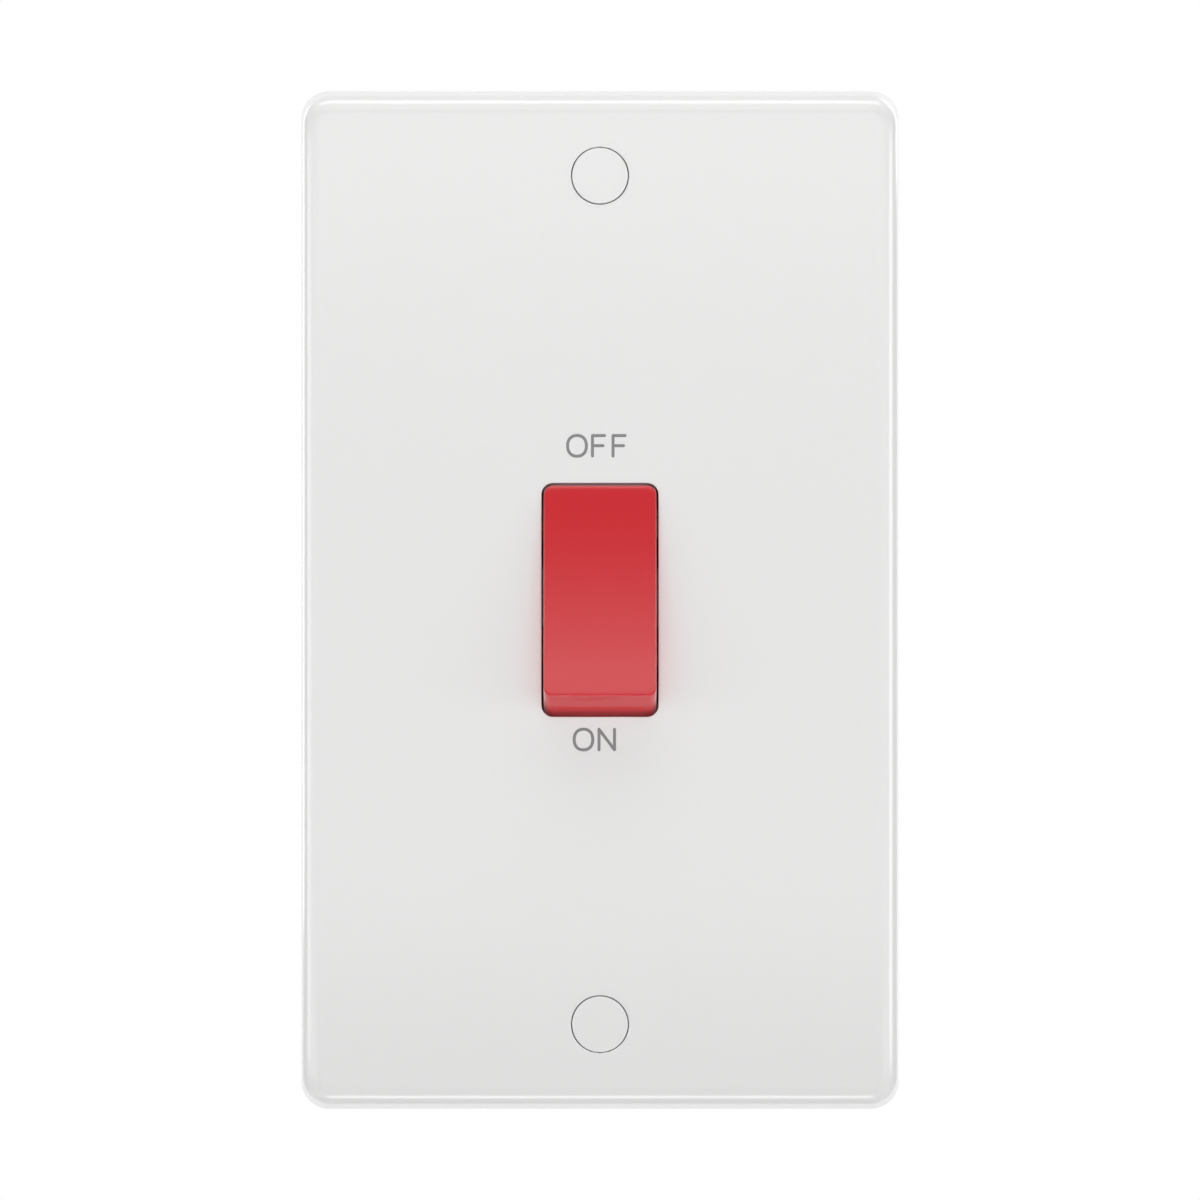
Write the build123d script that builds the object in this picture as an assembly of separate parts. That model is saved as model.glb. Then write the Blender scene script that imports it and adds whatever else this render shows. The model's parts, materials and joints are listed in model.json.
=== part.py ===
from build123d import *
import os
from math import cos, radians, sin, tan

# A 45 A double pole rocker switch on an upright two-gang wall plate, in millimetres.
# X runs to the right and Z up as the switch hangs on the wall, and Y runs into the wall.
# The origin is on the wall plane, midway between the two fixing screws.
# The rocker stands at OFF: its top is pressed in and its bottom stands proud.

# Wall plate
plate_width = 86.0
plate_depth = 8.6
plate_wall = 2.8
rim_wall = 2.2
plate_corner = 4.0
side_lean = 0.6
end_lean = 1.3
front_round = 2.7
round_land = 0.2
rib_thickness = 1.2
rib_height = 1.8
rib_side_offset = 31.0
rib_end_offset = 39.0

# Fixing screws and the caps that hide them
fixing_spacing = 120.6
fixing_margin = 12.95
fixing_shank_radius = 1.75
fixing_length = 25.0
fixing_neck_radius = 1.55
fixing_thread_start = 0.25
fixing_head_radius = 3.3
fixing_head_height = 2.2
fixing_hole_radius = 2.1
fixing_seat_depth = 4.2
boss_wall = 2.1
cap_radius = 3.97
cap_gap = 0.15
cap_thickness = 1.4
cap_skirt_wall = 0.5
cap_skirt_length = 1.8
cap_slit = 1.2

# Rocker
rocker_half_swing = 7.0
rocker_width = 16.0
rocker_face_half = 14.9
rocker_face_height = 10.75
rocker_crown = 0.25
rocker_end_draft = 22.3
rocker_rear_height = 3.0
rocker_wall = 1.5
rocker_face_wall = 1.7
rocker_corner = 1.3
rocker_edge = 0.45
aperture_side_gap = 0.3
aperture_end_gap = 0.24
aperture_corner = 1.6
aperture_land = 0.7
aperture_edge = 0.2
aperture_flare = 1.3

# Cradle under the rocker, with its trunnions and spring tubes
trunnion_radius = 2.0
trunnion_play = 0.08
trunnion_length = 4.5
cradle_half_width = 17.0
cradle_bar_half = 4.2
cradle_bar_rear = 2.6
deck_length = 31.0
deck_side_play = 0.3
deck_thickness = 1.5
leg_offset = 8.2
leg_width = 6.0
leg_thickness = 1.6
leg_barb = 0.6
leg_play = 0.1
pole_offset = 12.0
tube_radius = 3.5
tube_rear = 5.6
tube_floor = 1.0

# Plungers and their springs
plunger_radius = 2.0
plunger_play = 0.08
plunger_reach = 9.9
plunger_tail = 3.0
spigot_radius = 0.9
spigot_length = 1.4
spring_wire = 0.45
spring_coil_radius = 1.5
spring_pitch = 1.4

# Rocking contacts, one to each pole
blade_pivot_depth = 11.2
blade_thickness = 1.2
blade_width = 7.0
blade_tail = 7.0
blade_contact_arm = 12.5
blade_nose = 3.0
neck_depth = 0.8
neck_half_length = 1.5
tip_radius = 2.5
tip_thickness = 1.0
rivet_radius = 1.6
rivet_height = 0.6
contact_gap_closed = 0.08
strip_thickness = 1.5
strip_width = 7.7
strip_bend = 1.5
ear_thickness = 1.0
ear_half_length = 1.0
ridge_play = 0.05
ridge_half = 1.2
fulcrum_strip_gap = 1.7

# Terminals for the cables
terminal_offset = 26.0
terminal_width = 13.0
terminal_length = 11.0
terminal_front_depth = 8.0
terminal_rear_depth = 21.0
terminal_chamfer = 0.5
cable_bore_radius = 3.5
cable_bore_depth = 13.0
tenon_length = 1.5
tenon_depth = 18.25
clamp_shank_radius = 2.4
clamp_play = 0.05
clamp_shank_length = 10.0
clamp_head_radius = 4.0
clamp_head_height = 2.8
clamp_tip_clearance = 0.3
clamp_slot = 1.1

# Mouldings that hold the mechanism
frame_width = 44.0
base_end_wall = 1.9
frame_corner = 1.5
frame_front_depth = -5.5
frame_seat_depth = -0.7
base_front_depth = 1.3
base_rear_depth = 24.0
opening_half_width = 18.5
opening_half_height = 19.5
ring_wall = 2.0
base_wall = 2.0
base_floor = 2.5
pole_barrier = 2.2
barrier_play = 0.5
chamber_half_height = 18.9
block_play = 0.1
collar_wall = 1.7
collar_height = 1.2
head_play = 0.5
entry_play = 0.8
entry_flare = 0.7
press_post_width = 9.0
press_post_length = 6.0
tongue_play = 0.3
strip_slot_play = 0.35

# Ears, and the screws that hold the mechanism to the plate
ear_reach = 4.0
ear_offset_z = 13.0
ear_radius = 4.0
ear_depth = 2.5
post_radius = 3.5
post_pilot_depth = 6.3
self_tapper_radius = 1.45
self_tapper_play = 0.05
self_tapper_hole_play = 0.25
self_tapper_head_radius = 2.8
self_tapper_head_height = 2.0
self_tapper_length = 9.8

# Earth terminal on the back of the plate
earth_offset = 46.0
earth_width = 11.0
earth_length = 9.0
earth_height = 10.0
earth_bore_radius = 2.7
earth_bore_depth = 4.5
earth_screw_radius = 1.85
earth_shank_length = 6.5
earth_head_radius = 3.2
earth_head_height = 2.2
earth_holder_wall = 1.3
earth_holder_height = 5.0

plate_height = fixing_spacing + 2 * fixing_margin
plate_front = -plate_depth
plate_floor = plate_front + plate_wall
seat_plane = plate_front + fixing_seat_depth
rocker_face = -rocker_face_height
rocker_rear = -rocker_rear_height
pocket_radius = cap_radius + cap_gap
aperture_width = rocker_width + 2 * aperture_side_gap
ear_offset_x = frame_width / 2 + ear_reach
fixing_places = [fixing_spacing / 2, -fixing_spacing / 2]
ear_places = [(x, z) for x in (-ear_offset_x, ear_offset_x) for z in (-ear_offset_z, ear_offset_z)]
terminal_places = [(x, z) for x in (-pole_offset, pole_offset) for z in (-terminal_offset, terminal_offset)]
chamber_outer = terminal_offset + terminal_length / 2 + block_play
base_height = 2 * (chamber_outer + base_end_wall)
slot_inner_wall = terminal_offset - terminal_length / 2 - block_play - chamber_half_height


def prism(outline, front, rear):
    """The solid of an outline in X and Z that reaches from one depth to another."""
    return extrude(Plane.XZ.offset(-front) * outline, -(rear - front))


def side_prism(outline, width, x=0.0):
    """The solid of an outline in Y and Z, of the given width about x."""
    return Pos(x, 0, 0) * extrude(Plane.YZ * outline, width / 2, both=True)


def cross_rod(radius, y, z, x_from, x_to):
    """A round bar along X."""
    return extrude(Plane.YZ.offset(x_from) * Pos(y, z) * Circle(radius), x_to - x_from)


def upright_rod(radius, x, y, z_from, z_to):
    """A round bar along Z."""
    return extrude(Plane.XY.offset(z_from) * Pos(x, y) * Circle(radius), z_to - z_from)


def tilted(piece, angle, pivot_depth=0.0):
    """The piece turned about a line along X that lies at the given depth, at mid height."""
    return piece.rotate(Axis((0, pivot_depth, 0), (1, 0, 0)), angle)


def rocker_end(depth):
    """Half the rocker's length, at a depth in its own untilted frame."""
    return rocker_face_half + (depth - rocker_face) * tan(radians(rocker_end_draft))


def aperture_half_height():
    """Half the aperture: the pressed end of the rocker at the back of the aperture's land, and a gap."""
    swing = radians(rocker_half_swing)
    edge_height = rocker_face_height * cos(swing) - rocker_face_half * sin(swing)
    edge_reach = rocker_face_half * cos(swing) + rocker_face_height * sin(swing)
    land_rear = plate_depth - aperture_land
    lean = radians(rocker_end_draft - rocker_half_swing)
    return edge_reach + (edge_height - land_rear) * tan(lean) + aperture_end_gap


def plate_outline(depth, wall=0.0, corner=plate_corner):
    """The plate's rounded outline at a depth, which narrows from the wall to the shoulder."""
    share = min(1.0, -depth / (plate_depth - front_round - round_land))
    width = plate_width - 2 * (wall + side_lean * share)
    height = plate_height - 2 * (wall + end_lean * share)
    return RectangleRounded(width, height, corner)


def front_plate():
    """Hollow moulded plate with a rounded front edge, bosses, ribs and the rocker's aperture."""
    shoulder = plate_front + front_round + round_land
    foot = Plane.XZ * plate_outline(0)
    top = Plane.XZ.offset(-shoulder) * plate_outline(shoulder)
    front = prism(plate_outline(shoulder), plate_front, shoulder)
    front = fillet(front.faces().sort_by(Axis.Y)[0].edges(), front_round)
    shell = loft([foot, top], ruled=True) + front
    inner_corner = plate_corner - rim_wall
    pocket = loft(
        [
            Plane.XZ * plate_outline(0, rim_wall, inner_corner),
            Plane.XZ.offset(-plate_floor) * plate_outline(plate_floor, rim_wall, inner_corner),
        ],
        ruled=True,
    )
    ribs = [
        prism(Pos(side * rib_side_offset, 0) * Rectangle(rib_thickness, plate_height), plate_floor,
              plate_floor + rib_height)
        for side in (-1, 1)
    ]
    ribs += [
        prism(Pos(0, side * rib_end_offset) * Rectangle(plate_width, rib_thickness), plate_floor,
              plate_floor + rib_height)
        for side in (-1, 1)
    ]
    plate = shell - pocket
    for rib in ribs:
        plate += rib & pocket
    for z in fixing_places:
        plate += prism(Pos(0, z) * Circle(pocket_radius + boss_wall), plate_floor, 0)
    for x, z in ear_places:
        plate += prism(Pos(x, z) * Circle(post_radius), plate_floor, frame_seat_depth)
        pilot = Circle(self_tapper_radius + self_tapper_play)
        plate -= prism(Pos(x, z) * pilot, frame_seat_depth - post_pilot_depth, frame_seat_depth)
    plate += earth_holder()
    for z in fixing_places:
        plate -= prism(Pos(0, z) * Circle(pocket_radius), plate_front, seat_plane)
        plate -= prism(Pos(0, z) * Circle(fixing_hole_radius), seat_plane, 0)
    half = aperture_half_height()
    land_rear = plate_front + aperture_land
    plate -= prism(RectangleRounded(aperture_width, 2 * half, aperture_corner), plate_front, plate_floor)
    flare = Polygon(
        (land_rear, -half),
        (plate_floor, -half - aperture_flare),
        (plate_floor, half + aperture_flare),
        (land_rear, half),
        align=None,
    )
    plate -= side_prism(flare, aperture_width)
    rim = plate.edges().filter_by(lambda e: abs(e.center().Y - plate_front) < 1e-4)
    rim = rim.filter_by(lambda e: e.bounding_box().size.Y < 1e-4 and abs(e.center().Z) < half + 1)
    return chamfer(rim.filter_by(lambda e: abs(e.center().X) < aperture_width), aperture_edge)


def earth_holder():
    """Open moulded box with a cross rib inside, which the earth terminal seats on."""
    width = earth_width + 2 * (block_play + earth_holder_wall)
    length = earth_length + 2 * (block_play + earth_holder_wall)
    place = Pos(0, -earth_offset)
    walls = RectangleRounded(width, length, earth_holder_wall) - Rectangle(
        earth_width + 2 * block_play, earth_length + 2 * block_play
    )
    seat = Rectangle(earth_width + earth_holder_wall, earth_holder_wall)
    seat += Rectangle(earth_holder_wall, earth_length + earth_holder_wall)
    holder = prism(place * walls, plate_floor, earth_holder_height)
    holder += prism(place * seat, plate_floor, 0)
    way = prism(place * Rectangle(2 * width, 2 * earth_bore_radius + 1), earth_bore_depth
                - earth_bore_radius - block_play, earth_holder_height + 1)
    return holder - way


def screw_cap():
    """Flat disc with a slit skirt that grips round the screw's head, centred on its own axis."""
    rear = plate_front + cap_thickness
    skirt = Circle(cap_radius) - Circle(cap_radius - cap_skirt_wall)
    cap = prism(Circle(cap_radius), plate_front, rear)
    cap += prism(skirt - Rectangle(2 * plate_depth, cap_slit), rear, rear + cap_skirt_length)
    return chamfer(cap.faces().sort_by(Axis.Y)[0].edges(), 0.1)


def slotted_screw(shank_radius, shank_length, head_radius, head_height, slot):
    """Cheese head screw seated at depth nought, with its shank towards the front."""
    head = prism(Circle(head_radius), 0, head_height)
    head = chamfer(head.faces().sort_by(Axis.Y)[-1].edges(), head_height * 0.18)
    head -= prism(Rectangle(2 * head_radius, slot), head_height * 0.5, head_height)
    return head + prism(Circle(shank_radius), -shank_length, 0)


def fixing_screw(z):
    """Screw from the front into the wall box, with a plain neck through the plate's boss."""
    screw = slotted_screw(fixing_shank_radius, fixing_length, fixing_head_radius, fixing_head_height, clamp_slot)
    neck = fixing_thread_start - seat_plane
    screw -= prism(Circle(fixing_shank_radius) - Circle(fixing_neck_radius), -neck, 0)
    return Pos(0, seat_plane, z) * screw.rotate(Axis.Z, 180)


def self_tapper():
    """Pan head screw with a tapered point, seated at depth nought."""
    head = prism(Circle(self_tapper_head_radius), 0, self_tapper_head_height)
    head = chamfer(head.faces().sort_by(Axis.Y)[-1].edges(), self_tapper_head_height * 0.35)
    shank = prism(Circle(self_tapper_radius), -self_tapper_length, 0)
    return head + chamfer(shank.faces().sort_by(Axis.Y)[0].edges(), self_tapper_radius * 0.6)


def rocker():
    """Hollow cap with a crowned face and drafted ends, and two barbed legs that snap into the cradle."""
    foot = rocker_end(rocker_rear)
    crown = ThreePointArc(
        (rocker_face, -rocker_face_half),
        (rocker_face - rocker_crown, 0),
        (rocker_face, rocker_face_half),
    )
    sides = Polyline(
        (rocker_face, rocker_face_half), (rocker_rear, foot), (rocker_rear, -foot),
        (rocker_face, -rocker_face_half),
    )
    body = side_prism(make_face(crown + sides), rocker_width)
    ends = body.faces().filter_by(lambda f: abs(f.normal_at().Z) > 0.8)
    corners = [e for end in ends for e in end.edges() if e.length < rocker_face_height * 2
               and e.bounding_box().size.X < 1e-4]
    body = fillet(corners, rocker_corner)
    face = body.faces().sort_by(Axis.Y)[0]
    body = fillet(face.edges(), rocker_edge)
    inner_face = rocker_face + rocker_face_wall
    hollow = Polygon(
        (inner_face, -rocker_end(inner_face) + rocker_wall),
        (rocker_rear, -foot + rocker_wall),
        (rocker_rear, foot - rocker_wall),
        (inner_face, rocker_end(inner_face) - rocker_wall),
        align=None,
    )
    body -= side_prism(hollow, rocker_width - 2 * rocker_wall)
    spine = prism(Rectangle(rocker_wall, 2 * rocker_face_half), inner_face, inner_face + rocker_face_wall)
    body += spine
    deck_rear = rocker_rear + deck_thickness
    for side in (-1, 1):
        outer = side * (leg_offset + leg_thickness / 2)
        leg = Polygon(
            (inner_face, outer - side * leg_thickness),
            (inner_face, outer),
            (deck_rear + leg_play / 2, outer),
            (deck_rear + leg_play / 2, outer + side * leg_barb),
            (deck_rear + 2 * leg_barb, outer),
            (deck_rear + 2 * leg_barb, outer - side * leg_thickness),
            align=None,
        )
        body += side_prism(leg, leg_width)
    return body


def rocker_cradle():
    """Pivoting carrier: a deck for the rocker, a cross bar with trunnions, and two spring tubes."""
    deck_rear = rocker_rear + deck_thickness
    deck = prism(
        RectangleRounded(rocker_width - 2 * deck_side_play, deck_length, rocker_corner), rocker_rear, deck_rear
    )
    bar = prism(Rectangle(2 * cradle_half_width, 2 * cradle_bar_half), rocker_rear, cradle_bar_rear)
    rear_edges = bar.edges().filter_by(Axis.X).sort_by(Axis.Y)[-2:]
    cradle = deck + chamfer(rear_edges, cradle_bar_rear * 0.5)
    cradle += cross_rod(trunnion_radius, 0, 0, -cradle_half_width - trunnion_length,
                        cradle_half_width + trunnion_length)
    for side in (-1, 1):
        cradle += prism(Pos(side * pole_offset, 0) * Circle(tube_radius), rocker_rear, tube_rear)
        slot = Rectangle(leg_width + 2 * leg_play, leg_thickness + 2 * leg_play)
        cradle -= prism(Pos(0, side * leg_offset) * slot, rocker_rear, deck_rear)
    for side in (-1, 1):
        bore = Circle(plunger_radius + plunger_play)
        cradle -= prism(Pos(side * pole_offset, 0) * bore, rocker_rear + tube_floor, tube_rear)
    return cradle


def plunger(side):
    """Round-nosed pin that slides in the cradle's tube, with a spigot for the spring."""
    nose_centre = plunger_reach - plunger_radius
    nose = Pos(0, nose_centre, 0) * Sphere(plunger_radius)
    body = prism(Circle(plunger_radius), plunger_tail, nose_centre) + nose
    body += prism(Circle(spigot_radius), plunger_tail - spigot_length, plunger_tail)
    return Pos(side * pole_offset, 0, 0) * body


def plunger_spring(side):
    """Coil spring between the tube's floor and the plunger's shoulder, its wire drawn with four sides."""
    start = rocker_rear + tube_floor + spring_wire / 2
    height = plunger_tail - spring_wire / 2 - start
    path = Helix(spring_pitch, height, spring_coil_radius, center=(0, start, 0), direction=(0, 1, 0))
    section = Plane(origin=path @ 0, z_dir=path % 0) * RegularPolygon(spring_wire / 2, 4)
    return Pos(side * pole_offset, 0, 0) * sweep(section, path=path, is_frenet=True)


def contact_blade(side):
    """Copper see-saw blade, necked at its pivot and riveted through at its contact end."""
    top = blade_contact_arm + blade_nose
    outline = Pos(0, (top - blade_tail) / 2) * RectangleRounded(blade_width, top + blade_tail, blade_width * 0.2)
    for edge in (-1, 1):
        notch = Rectangle(2 * neck_depth, 2 * neck_half_length)
        outline -= Pos(edge * blade_width / 2, 0) * notch
    blade = prism(outline, blade_pivot_depth - blade_thickness, blade_pivot_depth)
    head_front = blade_pivot_depth - blade_thickness - rivet_height
    blade += prism(Pos(0, blade_contact_arm) * Circle(rivet_radius), head_front, blade_pivot_depth)
    return Pos(side * pole_offset, 0, 0) * blade


def moving_tip(side):
    """Silver contact disc on the back of the blade."""
    disc = prism(Circle(tip_radius), blade_pivot_depth, blade_pivot_depth + tip_thickness)
    return Pos(side * pole_offset, 0, blade_contact_arm) * disc


def closed_contact():
    """Depth and height of the middle of the moving tip's face when the switch is on."""
    swing = radians(rocker_half_swing)
    depth = blade_pivot_depth + tip_thickness * cos(swing) + blade_contact_arm * sin(swing)
    height = blade_contact_arm * cos(swing) - tip_thickness * sin(swing)
    return depth, height


dome_radius = 4 * tip_radius
fixed_tip_front = closed_contact()[0] + contact_gap_closed + dome_radius * (1 / cos(radians(rocker_half_swing)) - 1)
fixed_strip_front = fixed_tip_front + tip_thickness


def fixed_tip(side):
    """Domed silver contact that the moving tip meets square on its slope."""
    height = closed_contact()[1]
    dome = Pos(0, fixed_tip_front + dome_radius, 0) * Sphere(dome_radius)
    disc = prism(Circle(tip_radius), fixed_tip_front - tip_thickness, fixed_strip_front)
    return Pos(side * pole_offset, 0, height) * (disc & dome)


def bent_strip(points):
    """Copper strip of one thickness along a line of (depth, height) points with rounded bends."""
    line = FilletPolyline(*points, radius=strip_bend)
    return side_prism(trace(line, strip_thickness), strip_width)


def tenon_end(side_z):
    """Height at which a strip's tenon ends inside its terminal block."""
    return side_z * (terminal_offset - terminal_length / 2 + tenon_length)


def fixed_contact(side):
    """Strip from the fixed tip up to the supply terminal."""
    middle = fixed_strip_front + strip_thickness / 2
    low = closed_contact()[1] - tip_radius - strip_thickness / 2
    high = closed_contact()[1] + tip_radius + strip_thickness / 2
    strip = bent_strip([(middle, low), (middle, high), (tenon_depth, high + strip_thickness), (tenon_depth, tenon_end(1))])
    return Pos(side * pole_offset, 0, 0) * strip


def fulcrum(side):
    """Strip from the load terminal to the ridge and the two ears that the blade rocks on."""
    front = blade_pivot_depth + fulcrum_strip_gap
    middle = front + strip_thickness / 2
    top = 2 * ear_half_length
    knee = -blade_tail - 2 * strip_thickness
    drop = tenon_depth - middle
    strip = bent_strip([(middle, top), (middle, knee), (tenon_depth, knee - drop), (tenon_depth, tenon_end(-1))])
    ridge = Polygon(
        (front, -ridge_half), (blade_pivot_depth + ridge_play, 0), (front, ridge_half), align=None
    )
    strip += side_prism(ridge, blade_width - 2 * neck_depth)
    ear_front = blade_pivot_depth - 2 * blade_thickness
    for edge in (-1, 1):
        x = edge * (strip_width - ear_thickness) / 2
        ear = Rectangle(ear_thickness, 2 * ear_half_length)
        strip += prism(Pos(x, 0) * ear, ear_front, front)
    return Pos(side * pole_offset, 0, 0) * strip


def terminal(side_x, side_z):
    """Brass block with a cable bore along Z, a tapped hole from the rear and a slot for the strip's tenon."""
    width, length = terminal_width, terminal_length
    block = prism(Rectangle(width, length), terminal_front_depth, terminal_rear_depth)
    block = chamfer(block.edges().filter_by(Axis.Y), terminal_chamfer)
    block -= upright_rod(cable_bore_radius, 0, cable_bore_depth, -length / 2, length / 2)
    tapped = Circle(clamp_shank_radius + clamp_play)
    block -= prism(tapped, cable_bore_depth, terminal_rear_depth)
    inner = -side_z * length / 2
    slot = Rectangle(strip_width, 2 * tenon_length)
    block -= prism(Pos(0, inner) * slot, tenon_depth - strip_thickness / 2, tenon_depth + strip_thickness / 2)
    return Pos(side_x * pole_offset, 0, side_z * terminal_offset) * block


def clamp_screw(x, z):
    """Terminal screw, backed off so that the cable bore is clear."""
    seat = cable_bore_depth + cable_bore_radius + clamp_tip_clearance + clamp_shank_length
    screw = slotted_screw(clamp_shank_radius, clamp_shank_length, clamp_head_radius, clamp_head_height, clamp_slot)
    return Pos(x, seat, z) * screw


def ears(front, rear):
    """Four rounded lugs beside a moulding, between two depths."""
    lugs = []
    for x, z in ear_places:
        inner = frame_width / 2 if x > 0 else -frame_width / 2
        reach = Pos((x + inner) / 2, z) * Rectangle(abs(x - inner), 2 * ear_radius)
        lugs.append(prism(reach + Pos(x, z) * Circle(ear_radius), front, rear))
    return lugs


def ear_holes(front, rear):
    """Clearance holes for the self-tapping screws."""
    hole = Circle(self_tapper_radius + self_tapper_hole_play)
    return [prism(Pos(x, z) * hole, front, rear) for x, z in ear_places]


def rocker_frame():
    """Front moulding: a ring round the cradle, with posts for the terminals and tongues for the strips' slots."""
    ring_height = 2 * (opening_half_height + ring_wall)
    frame = prism(RectangleRounded(frame_width, base_height, frame_corner), frame_seat_depth, base_front_depth)
    frame += prism(RectangleRounded(frame_width, ring_height, frame_corner), frame_front_depth, frame_seat_depth)
    for lug in ears(frame_seat_depth, base_front_depth):
        frame += lug
    for x, z in terminal_places:
        post = Rectangle(press_post_width, press_post_length)
        frame += prism(Pos(x, z) * post, base_front_depth, terminal_front_depth)
        inward = 1 if z > 0 else -1
        tongue = Rectangle(strip_width, slot_inner_wall - 2 * tongue_play)
        frame += prism(Pos(x, inward * (chamber_half_height + slot_inner_wall / 2)) * tongue, base_front_depth,
                       tenon_depth - strip_thickness / 2 - tongue_play)
    frame -= prism(Rectangle(2 * opening_half_width, 2 * opening_half_height), frame_front_depth, base_front_depth)
    for hole in ear_holes(frame_seat_depth, base_front_depth):
        frame -= hole
    radius = trunnion_radius + trunnion_play
    frame -= cross_rod(radius, 0, 0, -frame_width / 2, frame_width / 2)
    return frame - side_prism(Pos(base_front_depth / 2, 0) * Rectangle(base_front_depth, 2 * radius), frame_width)


def switch_base():
    """Rear moulding: two contact chambers and four terminal chambers, open to the front."""
    floor_depth = base_rear_depth - base_floor
    base = prism(RectangleRounded(frame_width, base_height, frame_corner), base_front_depth, base_rear_depth)
    for x, z in terminal_places:
        collar = Circle(clamp_head_radius + head_play + collar_wall)
        base += prism(Pos(x, z) * collar, base_rear_depth, base_rear_depth + collar_height)
    for lug in ears(base_front_depth, base_front_depth + ear_depth):
        base += lug
    chamber_width = (frame_width - pole_barrier) / 2 - base_wall
    for side in (-1, 1):
        middle = side * (pole_barrier + chamber_width) / 2
        chamber = prism(Pos(middle, 0) * Rectangle(chamber_width, 2 * chamber_half_height), base_front_depth,
                        floor_depth)
        base -= chamber
        fulcrum_rear = blade_pivot_depth + fulcrum_strip_gap + strip_thickness
        rest = Pos(side * pole_offset, -blade_tail / 4) * Rectangle(strip_width, blade_tail)
        base += prism(rest, fulcrum_rear, floor_depth)
        rest = Pos(side * pole_offset, closed_contact()[1]) * Rectangle(strip_width, 2 * tip_radius)
        base += prism(rest, fixed_strip_front + strip_thickness, floor_depth)
    swing = radians(rocker_half_swing)
    relief_depth = cradle_bar_rear * cos(swing) + cradle_bar_half * sin(swing) + barrier_play
    relief_half = cradle_bar_half * cos(swing) + cradle_bar_rear * sin(swing) + barrier_play
    base -= prism(Rectangle(2 * pole_barrier, 2 * relief_half), base_front_depth, relief_depth)
    for x, z in terminal_places:
        pocket = Rectangle(terminal_width + 2 * block_play, terminal_length + 2 * block_play)
        base -= prism(Pos(x, z) * pocket, base_front_depth, terminal_rear_depth)
        head = Circle(clamp_head_radius + head_play)
        base -= prism(Pos(x, z) * head, terminal_rear_depth, base_rear_depth + collar_height)
        inward = 1 if z > 0 else -1
        slot = Rectangle(strip_width + 2 * strip_slot_play, 2 * slot_inner_wall)
        base -= prism(Pos(x, inward * (chamber_half_height + slot_inner_wall / 2)) * slot, base_front_depth,
                      tenon_depth + strip_thickness / 2 + strip_slot_play)
        outer = inward * base_height / 2
        entry = cable_bore_radius + entry_play
        base -= upright_rod(entry, x, cable_bore_depth, outer - inward * (base_end_wall + block_play), outer)
        mouth = Pos(x, cable_bore_depth, outer - inward * entry_flare / 2)
        flare = Cone(entry, entry + entry_flare, entry_flare)
        base -= mouth * (flare if inward > 0 else flare.rotate(Axis.X, 180))
    for hole in ear_holes(base_front_depth, base_front_depth + ear_depth):
        base -= hole
    return base - cross_rod(trunnion_radius + trunnion_play, 0, 0, -frame_width / 2, frame_width / 2)


def earth_terminal():
    """Small brass block with a bore along X and a tapped hole from the rear."""
    block = prism(Rectangle(earth_width, earth_length), 0, earth_height)
    block = chamfer(block.edges().filter_by(Axis.Y), terminal_chamfer)
    block -= cross_rod(earth_bore_radius, earth_bore_depth, 0, -earth_width / 2, earth_width / 2)
    block -= prism(Circle(earth_screw_radius + clamp_play), earth_bore_depth, earth_height)
    return Pos(0, 0, -earth_offset) * block


def earth_screw():
    """Earth clamp screw, backed off so that its bore is clear."""
    seat = earth_bore_depth + earth_bore_radius + clamp_tip_clearance + earth_shank_length
    screw = slotted_screw(earth_screw_radius, earth_shank_length, earth_head_radius, earth_head_height, clamp_slot)
    return Pos(0, seat, -earth_offset) * screw


def build_nodes():
    """Every piece by name, placed as the switch stands at OFF."""
    nodes = {
        "front_plate": front_plate(),
        "rocker_frame": rocker_frame(),
        "switch_base": switch_base(),
        "rocker": tilted(rocker(), -rocker_half_swing),
        "rocker_cradle": tilted(rocker_cradle(), -rocker_half_swing),
        "earth_terminal": earth_terminal(),
        "earth_screw": earth_screw(),
    }
    for name, z in zip(("upper", "lower"), fixing_places):
        nodes[f"{name}_screw_cap"] = Pos(0, 0, z) * screw_cap()
        nodes[f"{name}_fixing_screw"] = fixing_screw(z)
    for number, (x, z) in enumerate(ear_places, 1):
        nodes[f"frame_screw_{number}"] = Pos(x, base_front_depth + ear_depth, z) * self_tapper()
    for pole, side in (("line", 1), ("neutral", -1)):
        nodes[f"{pole}_plunger"] = tilted(plunger(side), -rocker_half_swing)
        nodes[f"{pole}_spring"] = tilted(plunger_spring(side), -rocker_half_swing)
        nodes[f"{pole}_contact_blade"] = tilted(contact_blade(side), rocker_half_swing, blade_pivot_depth)
        nodes[f"{pole}_moving_tip"] = tilted(moving_tip(side), rocker_half_swing, blade_pivot_depth)
        nodes[f"{pole}_fixed_tip"] = fixed_tip(side)
        nodes[f"{pole}_fixed_contact"] = fixed_contact(side)
        nodes[f"{pole}_fulcrum"] = fulcrum(side)
        for end, side_z in (("supply", 1), ("load", -1)):
            nodes[f"{pole}_{end}_terminal"] = terminal(side, side_z)
            nodes[f"{pole}_{end}_screw"] = clamp_screw(side * pole_offset, side_z * terminal_offset)
    return nodes


os.makedirs("parts", exist_ok=True)
for node, solid in build_nodes().items():
    export_step(solid, f"parts/{node}.step")
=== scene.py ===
"""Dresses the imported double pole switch: skins, words, threads, finishes and the studio."""
import json
from math import cos, pi, radians, sin, tan

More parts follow.
